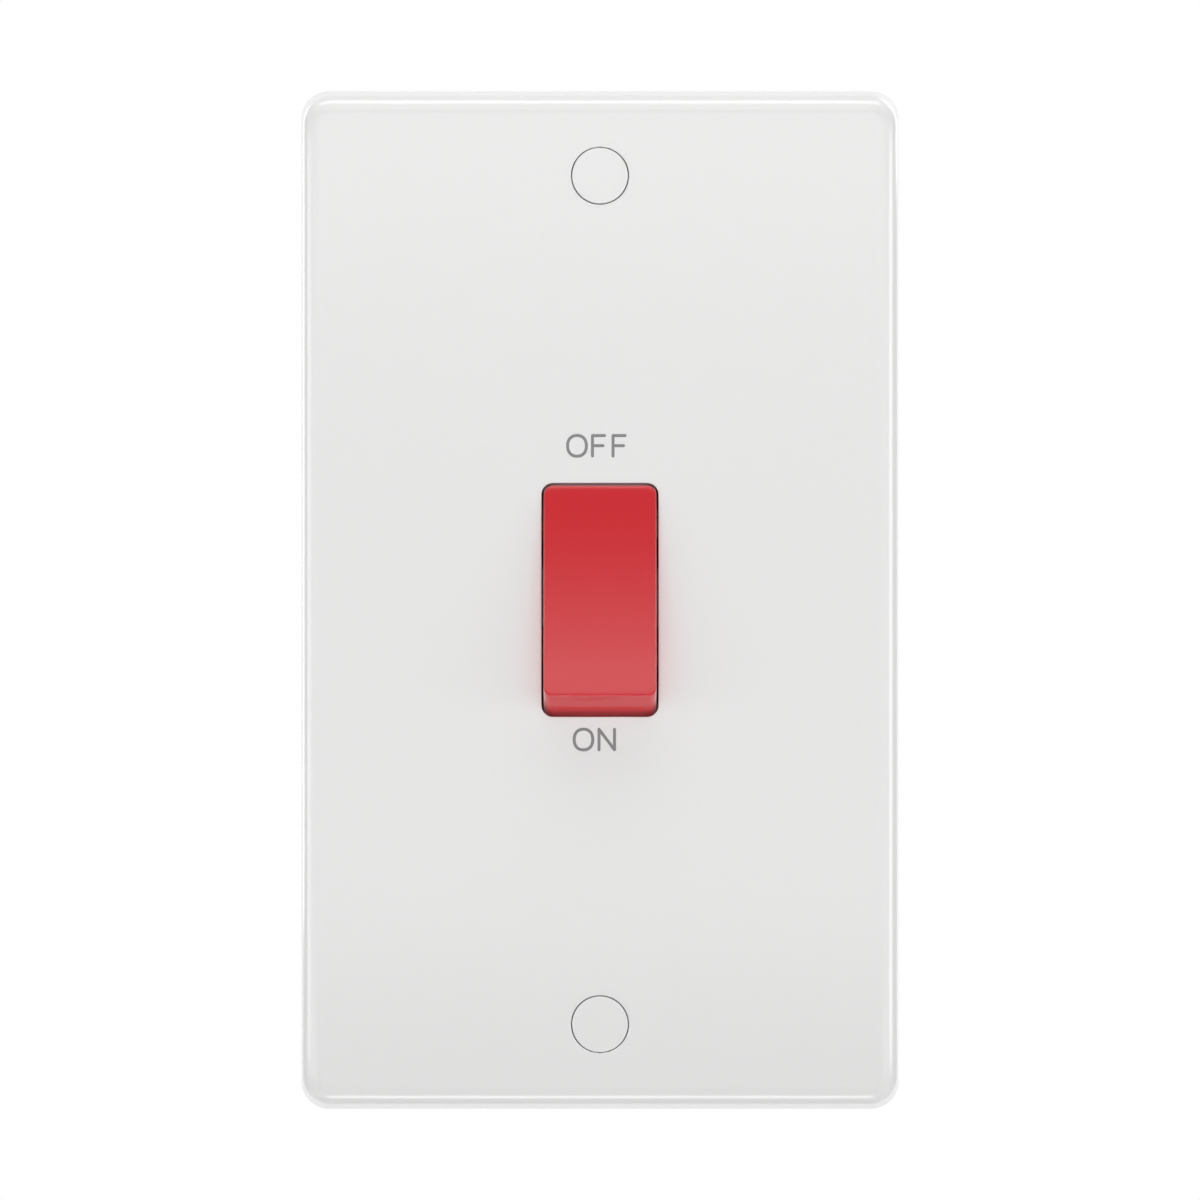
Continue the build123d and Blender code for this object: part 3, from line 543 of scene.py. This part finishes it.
class SWITCH_OT_front_plate(bpy.types.Operator):
    """Build the plate: rounded front, leaning sides, hollow back, aperture, cap pockets, bosses and ribs"""
    bl_idname = "switch.front_plate"
    bl_label = "Front plate"

    # Counts of points: a corner, the top edge, a side's end and middle stretches, and the aperture's
    # width and corners; and the share of the half height that the middle stretch takes
    corner, top, low, mid, across, arc = 14, 25, 9, 25, 17, 8
    share = 0.42

    def flat_face(self, walk, half_x, half_z, radius, depth, aperture, hole_radius, angles):
        """One flat of the plate, in three rings: one round the aperture, and one round each screw hole.

        Each outer point of a screw ring is joined to the hole's point at the same angle. The front
        flat settles these angles, and the rear flat takes them over.
        """
        x, z = (v[0] for v in walk.loop(half_x, half_z, radius))
        right = np.arange(self.low - 1, self.low - 1 + self.mid)
        left = right + 2 * (self.low - 1) + self.mid + 2 * self.corner + self.top
        line_x = np.linspace(half_x, -half_x, self.across + 2)[1:-1]
        level = z[right[-1]]
        outer_x = np.concatenate([x[right], line_x, x[left], -line_x])
        outer_z = np.concatenate([z[right], 0 * line_x + level, z[left], 0 * line_x - level])
        zones = [face_zone(outer_x, outer_z, aperture[0], aperture[1], depth)]
        top = np.arange(right[-1], left[0] + 1)
        bottom = np.concatenate([np.arange(left[-1], len(x)), np.arange(0, self.low)])
        for rows, end, cut_x in ((top, 1, -line_x), (bottom, -1, line_x)):
            middle = end * CAP_HEIGHT
            ring_x = np.concatenate([x[rows], cut_x])
            ring_z = np.concatenate([z[rows], 0 * cut_x + end * level])
            angle = angles.setdefault(end, np.arctan2(ring_z - middle, ring_x))
            hole_x, hole_z = hole_radius * np.cos(angle), middle + hole_radius * np.sin(angle)
            zones.append(face_zone(ring_x, ring_z, hole_x, hole_z, depth))
        return zones

    def execute(self, context):
        size = context.scene.switch_plate
        rounding = size.front_round / MM
        ends = np.linspace(self.share, 1, self.low)
        along_z = np.concatenate([-ends[::-1], np.linspace(-self.share, self.share, self.mid)[1:-1], ends])
        walk = Walk(np.linspace(-1, 1, self.top), along_z, self.corner)

        # Outer skin: front round, leaning side, rim and the rim's inner wall
        inset, back = quarter(rounding, 14)
        slant = np.array([0.0, 0.12, 0.5, 1.0])
        rim = np.array([1.0, 0.0])
        half_x, half_z = (
            np.concatenate([front - inset, front + lean * slant, front - RIM_WALL + lean * rim])
            for front, lean in ((HALF_WIDTH - SIDE_LEAN, SIDE_LEAN), (HALF_HEIGHT - END_LEAN, END_LEAN)))
        radius = np.concatenate([CORNER - inset, CORNER + 0 * slant, CORNER - RIM_WALL + 0 * rim])
        depth = np.concatenate([FRONT + back, (FRONT + rounding + LAND) * (1 - slant), FLOOR * (1 - rim)])
        x, z = walk.loop(half_x, half_z, radius)
        skin = sheet(x, depth[:, None] + 0 * x, z)

        # Aperture: soft front edge, short land and a flare towards the back
        a, b = size.aperture_half_width / MM, size.aperture_half_height / MM
        along_x, along_z = (np.linspace(-1, 1, count - self.arc) for count in (self.across, self.mid))
        hole = Walk(along_x, along_z, self.arc)
        soft, softer = quarter(SOFT, 5)
        grow = np.concatenate([soft, [0.0, 0.0]])
        flare = np.concatenate([soft, [0.0, APERTURE_FLARE]])
        hole_x, hole_z = hole.loop(a + grow, b + flare, APERTURE_CORNER + grow)
        hole_x, hole_z = (np.roll(v, self.arc // 2, axis=1) for v in (hole_x, hole_z))
        hole_depth = FRONT + np.concatenate([softer, [APERTURE_LAND, WALL]])
        tunnel = sheet(hole_x, hole_depth[:, None] + 0 * hole_x, hole_z)

        # The two flats, and the wells of the fixing screws
        pocket = CAP_RADIUS + size.cap_gap / MM
        boss = pocket + BOSS_WALL
        angles = {}
        parts = [skin, tunnel]
        parts += self.flat_face(walk, half_x[0], half_z[0], radius[0], FRONT, (hole_x[0], hole_z[0]),
                                pocket + SOFT, angles)
        parts += self.flat_face(walk, half_x[-1], half_z[-1], radius[-1], FLOOR, (hole_x[-1], hole_z[-1]),
                                boss, angles)
        edge_in, edge_back = quarter(SOFT, 4)
        radii = np.concatenate([pocket + edge_in, [pocket, SCREW_HOLE, SCREW_HOLE, boss - BEVEL, boss, boss]])
        depths = np.concatenate([FRONT + edge_back, [SCREW_SEAT, SCREW_SEAT, 0.0, 0.0, -BEVEL, FLOOR]])
        for end, angle in angles.items():
            parts.append(turned_profile(radii, depths, np.sort(angle), 0, end * CAP_HEIGHT))
        parts += self.back_details()
        surface = joined(parts)
        make_piece("plate_moulding", surface, "switch", "white_plastic", ["front_plate"])
        return {"FINISHED"}

    def back_details(self):
        """Ribs, screw posts and the earth terminal's holder, each sunk a little into the plate."""
        parts = []
        turn = np.arange(32) / 32 * 2 * pi
        for side in (-1, 1):
            x, z = side * SIDE_RIB, side * END_RIB
            long_z = HALF_HEIGHT - END_LEAN - RIM_WALL + SIDE_RIB_BITE
            long_x = HALF_WIDTH - SIDE_LEAN - RIM_WALL + END_RIB_BITE
            parts.append(block((x - RIB_HALF, x + RIB_HALF), (SUNK, FLOOR + RIB_HEIGHT), (-long_z, long_z)))
            low_top = FLOOR + RIB_HEIGHT - RIB_STEP
            parts.append(block((-long_x, long_x), (SUNK, low_top), (z - RIB_HALF, z + RIB_HALF)))
            for up in (-1, 1):
                radii = [0, POST_BORE, POST_BORE, POST_RADIUS - BEVEL, POST_RADIUS, POST_RADIUS, 0]
                depths = [POST_FLOOR, POST_FLOOR, POST_END, POST_END, POST_END - BEVEL, SUNK, SUNK]
                parts.append(turned_profile(radii, depths, turn, side * POST_X, up * POST_Z))
        x, z = HOLDER_OUTER[0] - SEAT_RIB_SHORT[0], HOLDER_OUTER[1] - SEAT_RIB_SHORT[1]
        r = SEAT_RIB_HALF
        parts.append(block((-x, x), (SUNK, 0.0), (EARTH_Z - r, EARTH_Z + r), BEVEL / 2))
        parts.append(block((-r, r), (SUNK, -RIB_STEP), (EARTH_Z - z, EARTH_Z + z), BEVEL / 2))
        parts.append(self.earth_holder())
        return parts

    def earth_holder(self):
        """Four walls round the earth terminal. The two beside its bore are low where the cable passes."""
        step = NOTCH_HALF / HOLDER_INNER[1]
        walk = Walk(np.array([-1.0, 1.0]), np.array([-1, -step - HAIR, -step, step, step + HAIR, 1]), 4)
        (out_x, out_z), (in_x, in_z), r = HOLDER_OUTER, HOLDER_INNER, HOLDER_CORNER
        x, z = walk.loop([out_x, out_x, in_x, in_x], [out_z, out_z, in_z, in_z], [r, r, 0.0, 0.0])
        z = z + EARTH_Z
        notch = (np.abs(walk.dx) > 0.99) & (np.abs(walk.fz) < step + 1e-4)
        top = np.where(notch, HOLDER_NOTCH, HOLDER_TOP)
        low = 0 * top + SUNK
        ring = sheet(x, np.stack([low, top, top, low]), z)
        foot = sheet(x[[3, 0]], np.stack([low, low]), z[[3, 0]])
        return joined([ring, foot])


class SWITCH_OT_rocker(bpy.types.Operator):
    """Build the rocker: a crowned face with a soft edge, slanted ends, and a hollow back with two legs"""
    bl_idname = "switch.rocker"
    bl_label = "Rocker"

    def execute(self, context):
        """The edge is a round of radius e between the face and a wall that leans out by an angle d.

        Its centre lies e behind the face and e * (1 - sin d) / cos d inside the wall, where
        tan d is the end's slope times the size of the outward direction's z.
        """
        size = context.scene.switch_rocker
        e, crown = size.edge / MM, size.crown / MM
        slope = tan(radians(END_DRAFT))
        half_x, half_z, corner = ROCKER_HALF_WIDTH, ROCKER_HALF_HEIGHT, ROCKER_CORNER
        face, foot, wall = ROCKER_FACE, ROCKER_FOOT, ROCKER_WALL
        walk = Walk(np.linspace(-1, 1, 33), np.linspace(-1, 1, 61), 10)
        x0, z0 = (v[0] for v in walk.loop(half_x, half_z, corner))

        # Edge, crowned face and the outer side down to the foot
        lean = np.arctan(slope * np.abs(walk.dz))
        beta = pi / 2 + (lean - pi / 2) * np.linspace(0, 1, 9)[:, None]
        out = e * np.cos(beta) - e * (1 - np.sin(lean)) / np.cos(lean)
        edge_x, edge_z = x0 + out * walk.dx, z0 + out * walk.dz
        bulge = crown * np.maximum(1 - (edge_z / half_z) ** 2, 0)
        edge_y = face - bulge + e - e * np.sin(beta)
        s = np.linspace(0, 1, 25)[:, None]
        top_x, top_z = edge_x[0] * s, walk.fz * (half_z - half_x) * (1 - s) + edge_z[0] * s
        top_y = face - crown * np.maximum(1 - (top_z / half_z) ** 2, 0)
        side_y = edge_y[-1] + (foot - edge_y[-1]) * np.linspace(0, 1, 6)[1:, None]
        side_x = x0 + 0 * side_y
        side_z = walk.fz * (half_z - corner + slope * (side_y - face)) + corner * walk.dz

        # Hollow back
        roof = face + ROCKER_FACE_WALL
        inner_half = half_z - wall + slope * (np.array([foot, roof]) - face)
        in_x, in_z = walk.loop([half_x - wall] * 2, inner_half, [HOLLOW_CORNER] * 2)
        in_y = np.array([[foot], [roof]]) + 0 * in_x
        roof_x, roof_z = 0 * in_x[-1:], walk.fz[None, :] * (inner_half[1] - half_x)
        rows_x = np.concatenate([top_x, edge_x[1:], side_x, in_x, roof_x])
        rows_y = np.concatenate([top_y, edge_y[1:], side_y, in_y, roof + 0 * roof_x])
        rows_z = np.concatenate([top_z, edge_z[1:], side_z, in_z, roof_z])
        parts = [sheet(rows_x, rows_y, rows_z)]

        # Middle rib, and the two legs with their barbs
        sunk, reach = roof - ROOF_BITE, half_z - ROCKER_RIB_SHORT
        parts.append(block((-wall / 2, wall / 2), (sunk, roof + ROCKER_RIB_HEIGHT), (-reach, reach)))
        for side in (-1, 1):
            leg = sorted((side * LEG_IN, side * LEG_OUT))
            parts.append(block((-LEG_HALF, LEG_HALF), (sunk, LEG_END), leg))
            x = LEG_HALF * np.array([[-1.0], [-1.0], [1.0], [1.0]])
            full = np.array([[0.0], [1.0], [1.0], [0.0]])
            y = LEG_END - BARB_BITE + np.array([0.0, 0.0, BARB_LENGTH])
            z = side * (LEG_OUT - BARB_BITE + np.array([0.0, BARB, 0.0]))
            y, z = (v.mean() + (v - v.mean()) * full for v in (y, z))
            parts.append(sheet(x, y, z))
        surface = tilted(joined(parts), -size.tilt)
        make_piece("rocker_moulding", surface, "rocker", "red_plastic", ["rocker"], 40)
        return {"FINISHED"}


def stroke(points, width, closed=False, layer=0):
    """A printed stroke: a low ribbon along a line of points, with half-round ends.

    Its half width is w/2 * sqrt(1 - k^2), where k runs from 0 to 1 over the last w/2 of each end.
    Strokes that cross lie in layers a few thousandths of a millimetre apart.
    """
    height = INK_HEIGHT + INK_LAYER * layer
    points = np.asarray(points, float)
    if closed:
        along = np.roll(points, -1, axis=0) - np.roll(points, 1, axis=0)
        half = np.full(len(points), width / 2)
    else:
        k = 1 - np.sin(np.linspace(0, pi / 2, 9))[:, None]
        beyond = points[0] - points[1], points[-1] - points[-2]
        lead, trail = (v / np.linalg.norm(v) * width / 2 for v in beyond)
        start, stop = points[0] + lead * k, points[-1] + trail * k[::-1]
        end = np.sqrt(1 - k[:, 0] ** 2)
        half = np.concatenate([end, np.ones(len(points) - 2), end[::-1]]) * width / 2
        points = np.concatenate([start, points[1:-1], stop])
        along = np.gradient(points, axis=0)
    along /= np.linalg.norm(along, axis=1, keepdims=True)
    across = np.stack([-along[:, 1], along[:, 0]], 1)
    offset = np.array([-1.0, -0.94, 0.94, 1.0, 0.9, -0.9])
    lift = np.array([0.0, 1.0, 1.0, 0.0, -0.6, -0.6]) * height
    x = points[:, 0:1] + across[:, 0:1] * half[:, None] * offset
    z = points[:, 1:2] + across[:, 1:2] * half[:, None] * offset
    y = FRONT - lift[None, :] + 0 * x
    if closed:
        x, y, z = (np.concatenate([v, v[:1]]) for v in (x, y, z))
    return sheet(x, y, z)


def letter_o(middle, half_width, half_height, width):
    """An O: the superellipse |x/a|^p + |z/b|^p = 1, where p is O_POWER, as a closed stroke."""
    t = np.arange(72) / 72 * 2 * pi
    c, s = np.cos(t), np.sin(t)
    x = middle + half_width * np.sign(c) * np.abs(c) ** (2 / O_POWER)
    z = half_height * np.sign(s) * np.abs(s) ** (2 / O_POWER)
    return stroke(np.stack([x, z], 1), width, closed=True)


def straight(a, b, width, layer=0):
    """A straight stroke between two points."""
    t = np.linspace(0, 1, 6)[:, None]
    return stroke(np.array(a) * (1 - t) + np.array(b) * t, width, layer=layer)


class SWITCH_OT_words(bpy.types.Operator):
    """Print the words OFF above the rocker and ON below it"""
    bl_idname = "switch.words"
    bl_label = "Words"

    def execute(self, context):
        size = context.scene.switch_words
        w, h = size.stroke / MM, (size.height / MM - size.stroke / MM) / 2
        ink = plastic("grey pad print", size.colour, 0.45, drift=0.08, grain=4000.0, bump=0.1, specular=0.4)
        off = [letter_o(*OFF_O, h + O_TALLER, w)]
        for left in F_LEFTS:
            off += [straight((left, -h), (left, h), w), straight((left, h), (left + F_TOP_ARM, h), w, 1),
                    straight((left, F_MIDDLE), (left + F_MIDDLE_ARM, F_MIDDLE), w, 1)]
        on = [letter_o(*ON_O, h + O_TALLER, w)]
        on += [straight((N_LEFT, -h), (N_LEFT, h), w), straight((N_LEFT, h), (N_RIGHT, -h), w, 1),
               straight((N_RIGHT, -h), (N_RIGHT, h), w, 2)]
        for name, strokes, level in (("off_word", off, OFF_LEVEL), ("on_word", on, ON_LEVEL)):
            surface = moved(joined(strokes), z=level)
            make_piece(name, surface, "switch", "white_plastic", sharp=60, material=ink)
        return {"FINISHED"}


class SWITCH_OT_screw_caps(bpy.types.Operator):
    """Build the two screw caps: a disc with a soft edge and a slit skirt"""
    bl_idname = "switch.screw_caps"
    bl_label = "Screw caps"

    def execute(self, context):
        """The skirt's end steps back to the disc where the turn's sine is inside the slit."""
        outer, skirt_inner = CAP_RADIUS, CAP_RADIUS - CAP_SKIRT_WALL
        skirt_end, disc_back = cap_high[1], cap_high[1] - CAP_SKIRT
        cut = np.arcsin(CAP_SLIT_HALF / outer)
        cuts = np.array([cut, pi - cut, pi + cut, 2 * pi - cut])
        t = np.sort(np.concatenate([np.linspace(0, 2 * pi, 73)[:-1], cuts - HAIR, cuts + HAIR]))
        end = np.where(np.abs(np.sin(t)) < sin(cut), disc_back, skirt_end)
        edge_in, edge_back = quarter(SOFT, 4)
        disc = [0.0, outer - SOFT - 0.05]
        radii = np.concatenate([disc, outer - edge_in, [outer, skirt_inner, skirt_inner, 0.0]])
        front = np.concatenate([[FRONT, FRONT], FRONT + edge_back])[:, None] + 0 * t
        y = np.concatenate([front, [end, end, disc_back + 0 * t, disc_back + 0 * t]])
        x, z = radii[:, None] * np.cos(t), radii[:, None] * np.sin(t)
        for name, up in (("upper", 1), ("lower", -1)):
            surface = moved(sheet(x, y, z), z=up * CAP_HEIGHT)
            make_piece(f"{name}_cap_moulding", surface, f"{name}_cap", "white_plastic",
                       [f"{name}_screw_cap"])
        return {"FINISHED"}


def make_screw(name, node, body, sizes, slot=SLOT_WIDTH, cross=None, from_front=False, **more):
    """A head and a threaded shank between the ends of a CAD screw's box, on its axis."""
    head_height, rounding, shank, root, pitch = sizes
    low, high = box_of(node)
    top, tip = (low[1], high[1]) if from_front else (high[1], low[1])
    seat = top + head_height * (1 if from_front else -1)
    head = screw_head((high[0] - low[0]) / 2, seat, top, rounding, slot, cross)
    surface = joined([head, thread(shank, root, pitch, seat, tip, **more)])
    x, _, z = (low + high) / 2
    make_piece(name, moved(surface, x, z), body, "zinc_steel", [node], 40)


class SWITCH_OT_fixing_screws(bpy.types.Operator):
    """Build the two long fixing screws with their threads and slotted heads"""
    bl_idname = "switch.fixing_screws"
    bl_label = "Fixing screws"

    def execute(self, context):
        for name in ("upper", "lower"):
            make_screw(f"{name}_fixing_thread", f"{name}_fixing_screw", "switch", FIXING_SCREW,
                       from_front=True, neck=FIXING_NECK, neck_radius=FIXING_NECK_RADIUS)
        return {"FINISHED"}


class SWITCH_OT_frame_screws(bpy.types.Operator):
    """Build the four self-tapping screws that hold the mechanism to the plate"""
    bl_idname = "switch.frame_screws"
    bl_label = "Frame screws"

    def execute(self, context):
        for number in (1, 2, 3, 4):
            make_screw(f"frame_thread_{number}", f"frame_screw_{number}", "switch", FRAME_SCREW,
                       slot=0, cross=(CROSS_ARM, CROSS_BLADE), point=FRAME_POINT)
        return {"FINISHED"}


class SWITCH_OT_clamp_screws(bpy.types.Operator):
    """Build the clamp screws of the four cable terminals and of the earth terminal"""
    bl_idname = "switch.clamp_screws"
    bl_label = "Clamp screws"

    def execute(self, context):
        for name in ("line_supply", "line_load", "neutral_supply", "neutral_load"):
            make_screw(f"{name}_thread", f"{name}_screw", f"{name}_clamp", CLAMP_SCREW, steps=28)
        make_screw("earth_thread", "earth_screw", "earth_clamp", EARTH_SCREW)
        return {"FINISHED"}


class SWITCH_OT_springs(bpy.types.Operator):
    """Wind the two coil springs, with closed end turns, and hang them on the rocker"""
    bl_idname = "switch.springs"
    bl_label = "Springs"

    def execute(self, context):
        """The wire's middle is at (R cos a, y(a), R sin a); y climbs slowly in the first and last turn."""
        steps, sides, radius = 150, 10, SPRING_RADIUS
        share = np.linspace(0, 1, steps)
        a = share * SPRING_TURNS * 2 * pi
        climb = np.clip((share * SPRING_TURNS - CLOSED_TURNS) / (SPRING_TURNS - 2 * CLOSED_TURNS), 0, 1)
        rise = CLOSED_CLIMB * share + (1 - CLOSED_CLIMB) * climb
        y = SPRING_START + END_LIFT * share + (SPRING_END - SPRING_START - END_LIFT) * rise
        tangent = np.stack([-radius * np.sin(a), np.gradient(y, a), radius * np.cos(a)], 1)
        tangent /= np.linalg.norm(tangent, axis=1, keepdims=True)
        outward = np.stack([np.cos(a), 0 * a, np.sin(a)], 1)
        middle = np.stack([radius * np.cos(a), y, radius * np.sin(a)], 1)
        rows = np.concatenate([[0], np.arange(steps), [steps - 1]])
        thick = np.concatenate([[0.0], np.full(steps, WIRE_RADIUS), [0.0]])[:, None, None]
        ring = (np.arange(sides) / sides * 2 * pi)[None, :, None]
        upward = np.cross(tangent, outward)
        outward, upward, middle = (v[rows][:, None, :] for v in (outward, upward, middle))
        points = middle + thick * (outward * np.cos(ring) + upward * np.sin(ring))
        coil = sheet(points[..., 0], points[..., 1], points[..., 2])
        tilt = -context.scene.switch_rocker.tilt
        for pole in ("line", "neutral"):
            node = f"{pole}_spring"
            x = middle_of(node)[0]
            surface = tilted(moved(coil, x=x), tilt)
            piece = make_piece(f"{pole}_coil", surface, "rocker", "spring_steel", [node], 60)
            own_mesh(piece)
        return {"FINISHED"}


class SWITCH_OT_finishes(bpy.types.Operator):
    """Give every carried-over solid the finish of its material"""
    bl_idname = "switch.finishes"
    bl_label = "Finishes"

    def execute(self, context):
        for part in frame["record"]["subparts"]:
            solid = frame["nodes"][part["node"]]
            solid.data.materials.clear()
            solid.data.materials.append(slot_material(part["material_slot"]))
        return {"FINISHED"}


def white_seen(tree):
    """One for camera, glossy and transmission rays, which see plain white, and zero for the rest."""
    rays = put_node(tree, "LightPath").outputs
    seen = put_math(tree, "MAXIMUM", rays["Is Camera Ray"], rays["Is Glossy Ray"])
    return put_math(tree, "MAXIMUM", seen, rays["Is Transmission Ray"])


WHITE, FLOOR_GREY, WORLD_LIGHT = (1, 1, 1, 1), (0.86, 0.86, 0.86, 1), 0.17
FLOOR_HALF, FLOOR_NEAR, FLOOR_FAR = 6, 0.3, 0.9
# Soft cards: name, place, width and height in metres, and brightness
CARDS = (
    ("front_card", (0.0, -1.15, 0.09), 1.3, 0.56, 3.0),
    ("upper_card", (0.0, -0.84, 0.70), 0.55, 0.7, 1.3),
    ("top_card", (0.0, -0.11, 0.50), 0.55, 0.19, 3.9),
    ("right_wing", (0.76, -0.76, 0.0), 0.56, 0.42, 1.7),
    ("left_wing", (-0.76, -0.76, 0.0), 0.56, 0.42, 1.8),
    ("right_card", (0.97, -0.20, 0.0), 0.5, 0.36, 4.6),
    ("left_card", (-0.97, -0.20, 0.0), 0.56, 0.36, 3.6),
    ("low_card", (0.0, -0.24, -0.77), 0.40, 0.34, 4.5),
    ("rear_right_card", (0.75, 0.95, 0.55), 0.8, 0.8, 1.9),
    ("rear_left_card", (-0.85, 0.95, 0.25), 0.8, 0.8, 1.6),
)
# Share of the front card's brightness at heights from its foot, 0, to its top, 1
FRONT_FADE = (
    (0.0, 0.0), (0.03, 0.05), (0.073, 0.34), (0.115, 0.58), (0.2, 0.52), (0.34, 0.45), (0.48, 0.45),
    (0.548, 0.49), (0.584, 0.58), (0.608, 0.68), (0.654, 0.8), (0.685, 0.82), (0.745, 0.55), (0.847, 0.28),
    (0.92, 0.11), (1.0, 0.0),
)


class SWITCH_OT_stage(bpy.types.Operator):
    """Set up the camera, the pale floor, the soft lamps and the white surroundings"""
    bl_idname = "switch.stage"
    bl_label = "Stage"

    def camera(self, scene, size):
        """The camera straight in front of the middle of the plate."""
        lens = bpy.data.cameras.new("photo_camera")
        lens.sensor_width = 36.0
        lens.lens = size.lens
        lens.clip_start = 0.01
        eye = placed("photo_camera", lens)
        eye.location = (0.0, -size.distance, 0.0)
        eye.rotation_euler = (pi / 2, 0, 0)
        scene.camera = eye

    def lamp(self, name, place, width, height, brightness):
        """A soft card that faces the middle of the plate; its power is brightness * pi * area."""
        data = bpy.data.lights.new(name, "AREA")
        data.shape = "RECTANGLE"
        data.size, data.size_y, data.energy = width, height, brightness * pi * width * height
        card = placed(name, data)
        card.location = place
        card.rotation_euler = Vector(place).to_track_quat("Z", "Y").to_euler()
        card.visible_camera = False
        return card

    def fade(self, data):
        """Brightness up the front card, which a plate or a rocker that leans mirrors as a soft gradient."""
        data.use_nodes = True
        tree = data.node_tree
        place = put_node(tree, "NewGeometry").outputs["Parametric"]
        ramp = put_node(tree, "ValToRGB", {0: put_node(tree, "SeparateXYZ", {0: place}).outputs["Y"]})
        stops = ramp.color_ramp.elements
        while len(stops) < len(FRONT_FADE):
            stops.new(0.5)
        for stop, (height, share) in zip(stops, FRONT_FADE):
            stop.position = height
            stop.color = (share, share, share, 1)
        tree.links.new(ramp.outputs[0], tree.nodes["Emission"].inputs["Strength"])

    def floor(self, height):
        """A flat square grid; its material fades from lit grey to plain white away from the object."""
        line = np.linspace(-FLOOR_HALF, FLOOR_HALF, 9)
        x, y = np.meshgrid(line, line)
        points, quads = sheet(x, y, height + 0 * x, wrap=False)
        mesh = bpy.data.meshes.new("studio_floor")
        mesh.from_pydata(points.tolist(), [], quads.tolist())
        material = bpy.data.materials.new("pale studio floor")
        material.use_nodes = True
        tree = material.node_tree
        tree.nodes.clear()
        place = put_node(tree, "TexCoord").outputs["Object"]
        offset = put_node(tree, "VectorMath", {0: place, 1: (0, 0, height)}, operation="SUBTRACT")
        length = put_node(tree, "VectorMath", {0: offset.outputs[0]}, operation="LENGTH")
        far = put_node(tree, "MapRange", {
            "Value": length.outputs["Value"], "From Min": FLOOR_NEAR, "From Max": FLOOR_FAR,
        }, interpolation_type="SMOOTHSTEP")
        both = put_math(tree, "MULTIPLY", white_seen(tree), far.outputs[0])
        lit = put_node(tree, "BsdfDiffuse", {"Color": FLOOR_GREY})
        glow = put_node(tree, "Emission", {"Color": WHITE})
        mix = put_node(tree, "MixShader", {0: both, 1: lit.outputs[0], 2: glow.outputs[0]})
        put_node(tree, "OutputMaterial", {"Surface": mix.outputs[0]})
        mesh.materials.append(material)
        placed("studio_floor", mesh)

    def surroundings(self, scene):
        """A world that looks plain white and lights the object softly."""
        world = bpy.data.worlds.new("white studio")
        world.use_nodes = True
        scene.world = world
        tree = world.node_tree
        tree.nodes.clear()
        light = put_node(tree, "Background", {"Color": WHITE, "Strength": WORLD_LIGHT})
        white = put_node(tree, "Background", {"Color": WHITE, "Strength": 1.0})
        mix = put_node(tree, "MixShader", {0: white_seen(tree), 1: light.outputs[0], 2: white.outputs[0]})
        put_node(tree, "OutputWorld", {"Surface": mix.outputs[0]})

    def execute(self, context):
        scene = context.scene
        size = scene.switch_studio
        self.camera(scene, size)
        self.floor(size.floor_height)
        self.surroundings(scene)
        for name, place, width, height, brightness in CARDS:
            card = self.lamp(name, place, width, height, brightness)
            if name == "front_card":
                self.fade(card.data)
        scene.view_settings.view_transform = "Standard"
        return {"FINISHED"}


class SWITCH_PT_pieces(bpy.types.Panel):
    """Lists the pieces, and the sizes and colours that can be changed"""
    bl_idname = "SWITCH_PT_pieces"
    bl_label = "Double pole switch"
    bl_space_type = "VIEW_3D"
    bl_region_type = "UI"
    bl_category = "Switch"

    def draw(self, context):
        for group, cls in SETTINGS.items():
            box = self.layout.box()
            for name in cls.__annotations__:
                box.prop(getattr(context.scene, group), name)
        for step in STEPS:
            self.layout.operator(step.bl_idname)


SETTINGS = {
    "switch_plate": SwitchPlateSettings,
    "switch_rocker": SwitchRockerSettings,
    "switch_words": SwitchWordSettings,
    "switch_studio": SwitchStudioSettings,
}
STEPS = (
    SWITCH_OT_front_plate, SWITCH_OT_rocker, SWITCH_OT_words, SWITCH_OT_screw_caps, SWITCH_OT_fixing_screws,
    SWITCH_OT_frame_screws, SWITCH_OT_clamp_screws, SWITCH_OT_springs, SWITCH_OT_finishes, SWITCH_OT_stage,
)


def register():
    for cls in (*SETTINGS.values(), *STEPS, SWITCH_PT_pieces):
        bpy.utils.register_class(cls)
    for name, cls in SETTINGS.items():
        setattr(bpy.types.Scene, name, bpy.props.PointerProperty(type=cls))


def unregister():
    for name in SETTINGS:
        delattr(bpy.types.Scene, name)
    for cls in (SWITCH_PT_pieces, *reversed(STEPS), *reversed(SETTINGS.values())):
        bpy.utils.unregister_class(cls)


def main():
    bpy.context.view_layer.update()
    register()
    for step in STEPS:
        group, name = step.bl_idname.split(".")
        getattr(getattr(bpy.ops, group), name)()


if __name__ == "__main__":
    main()
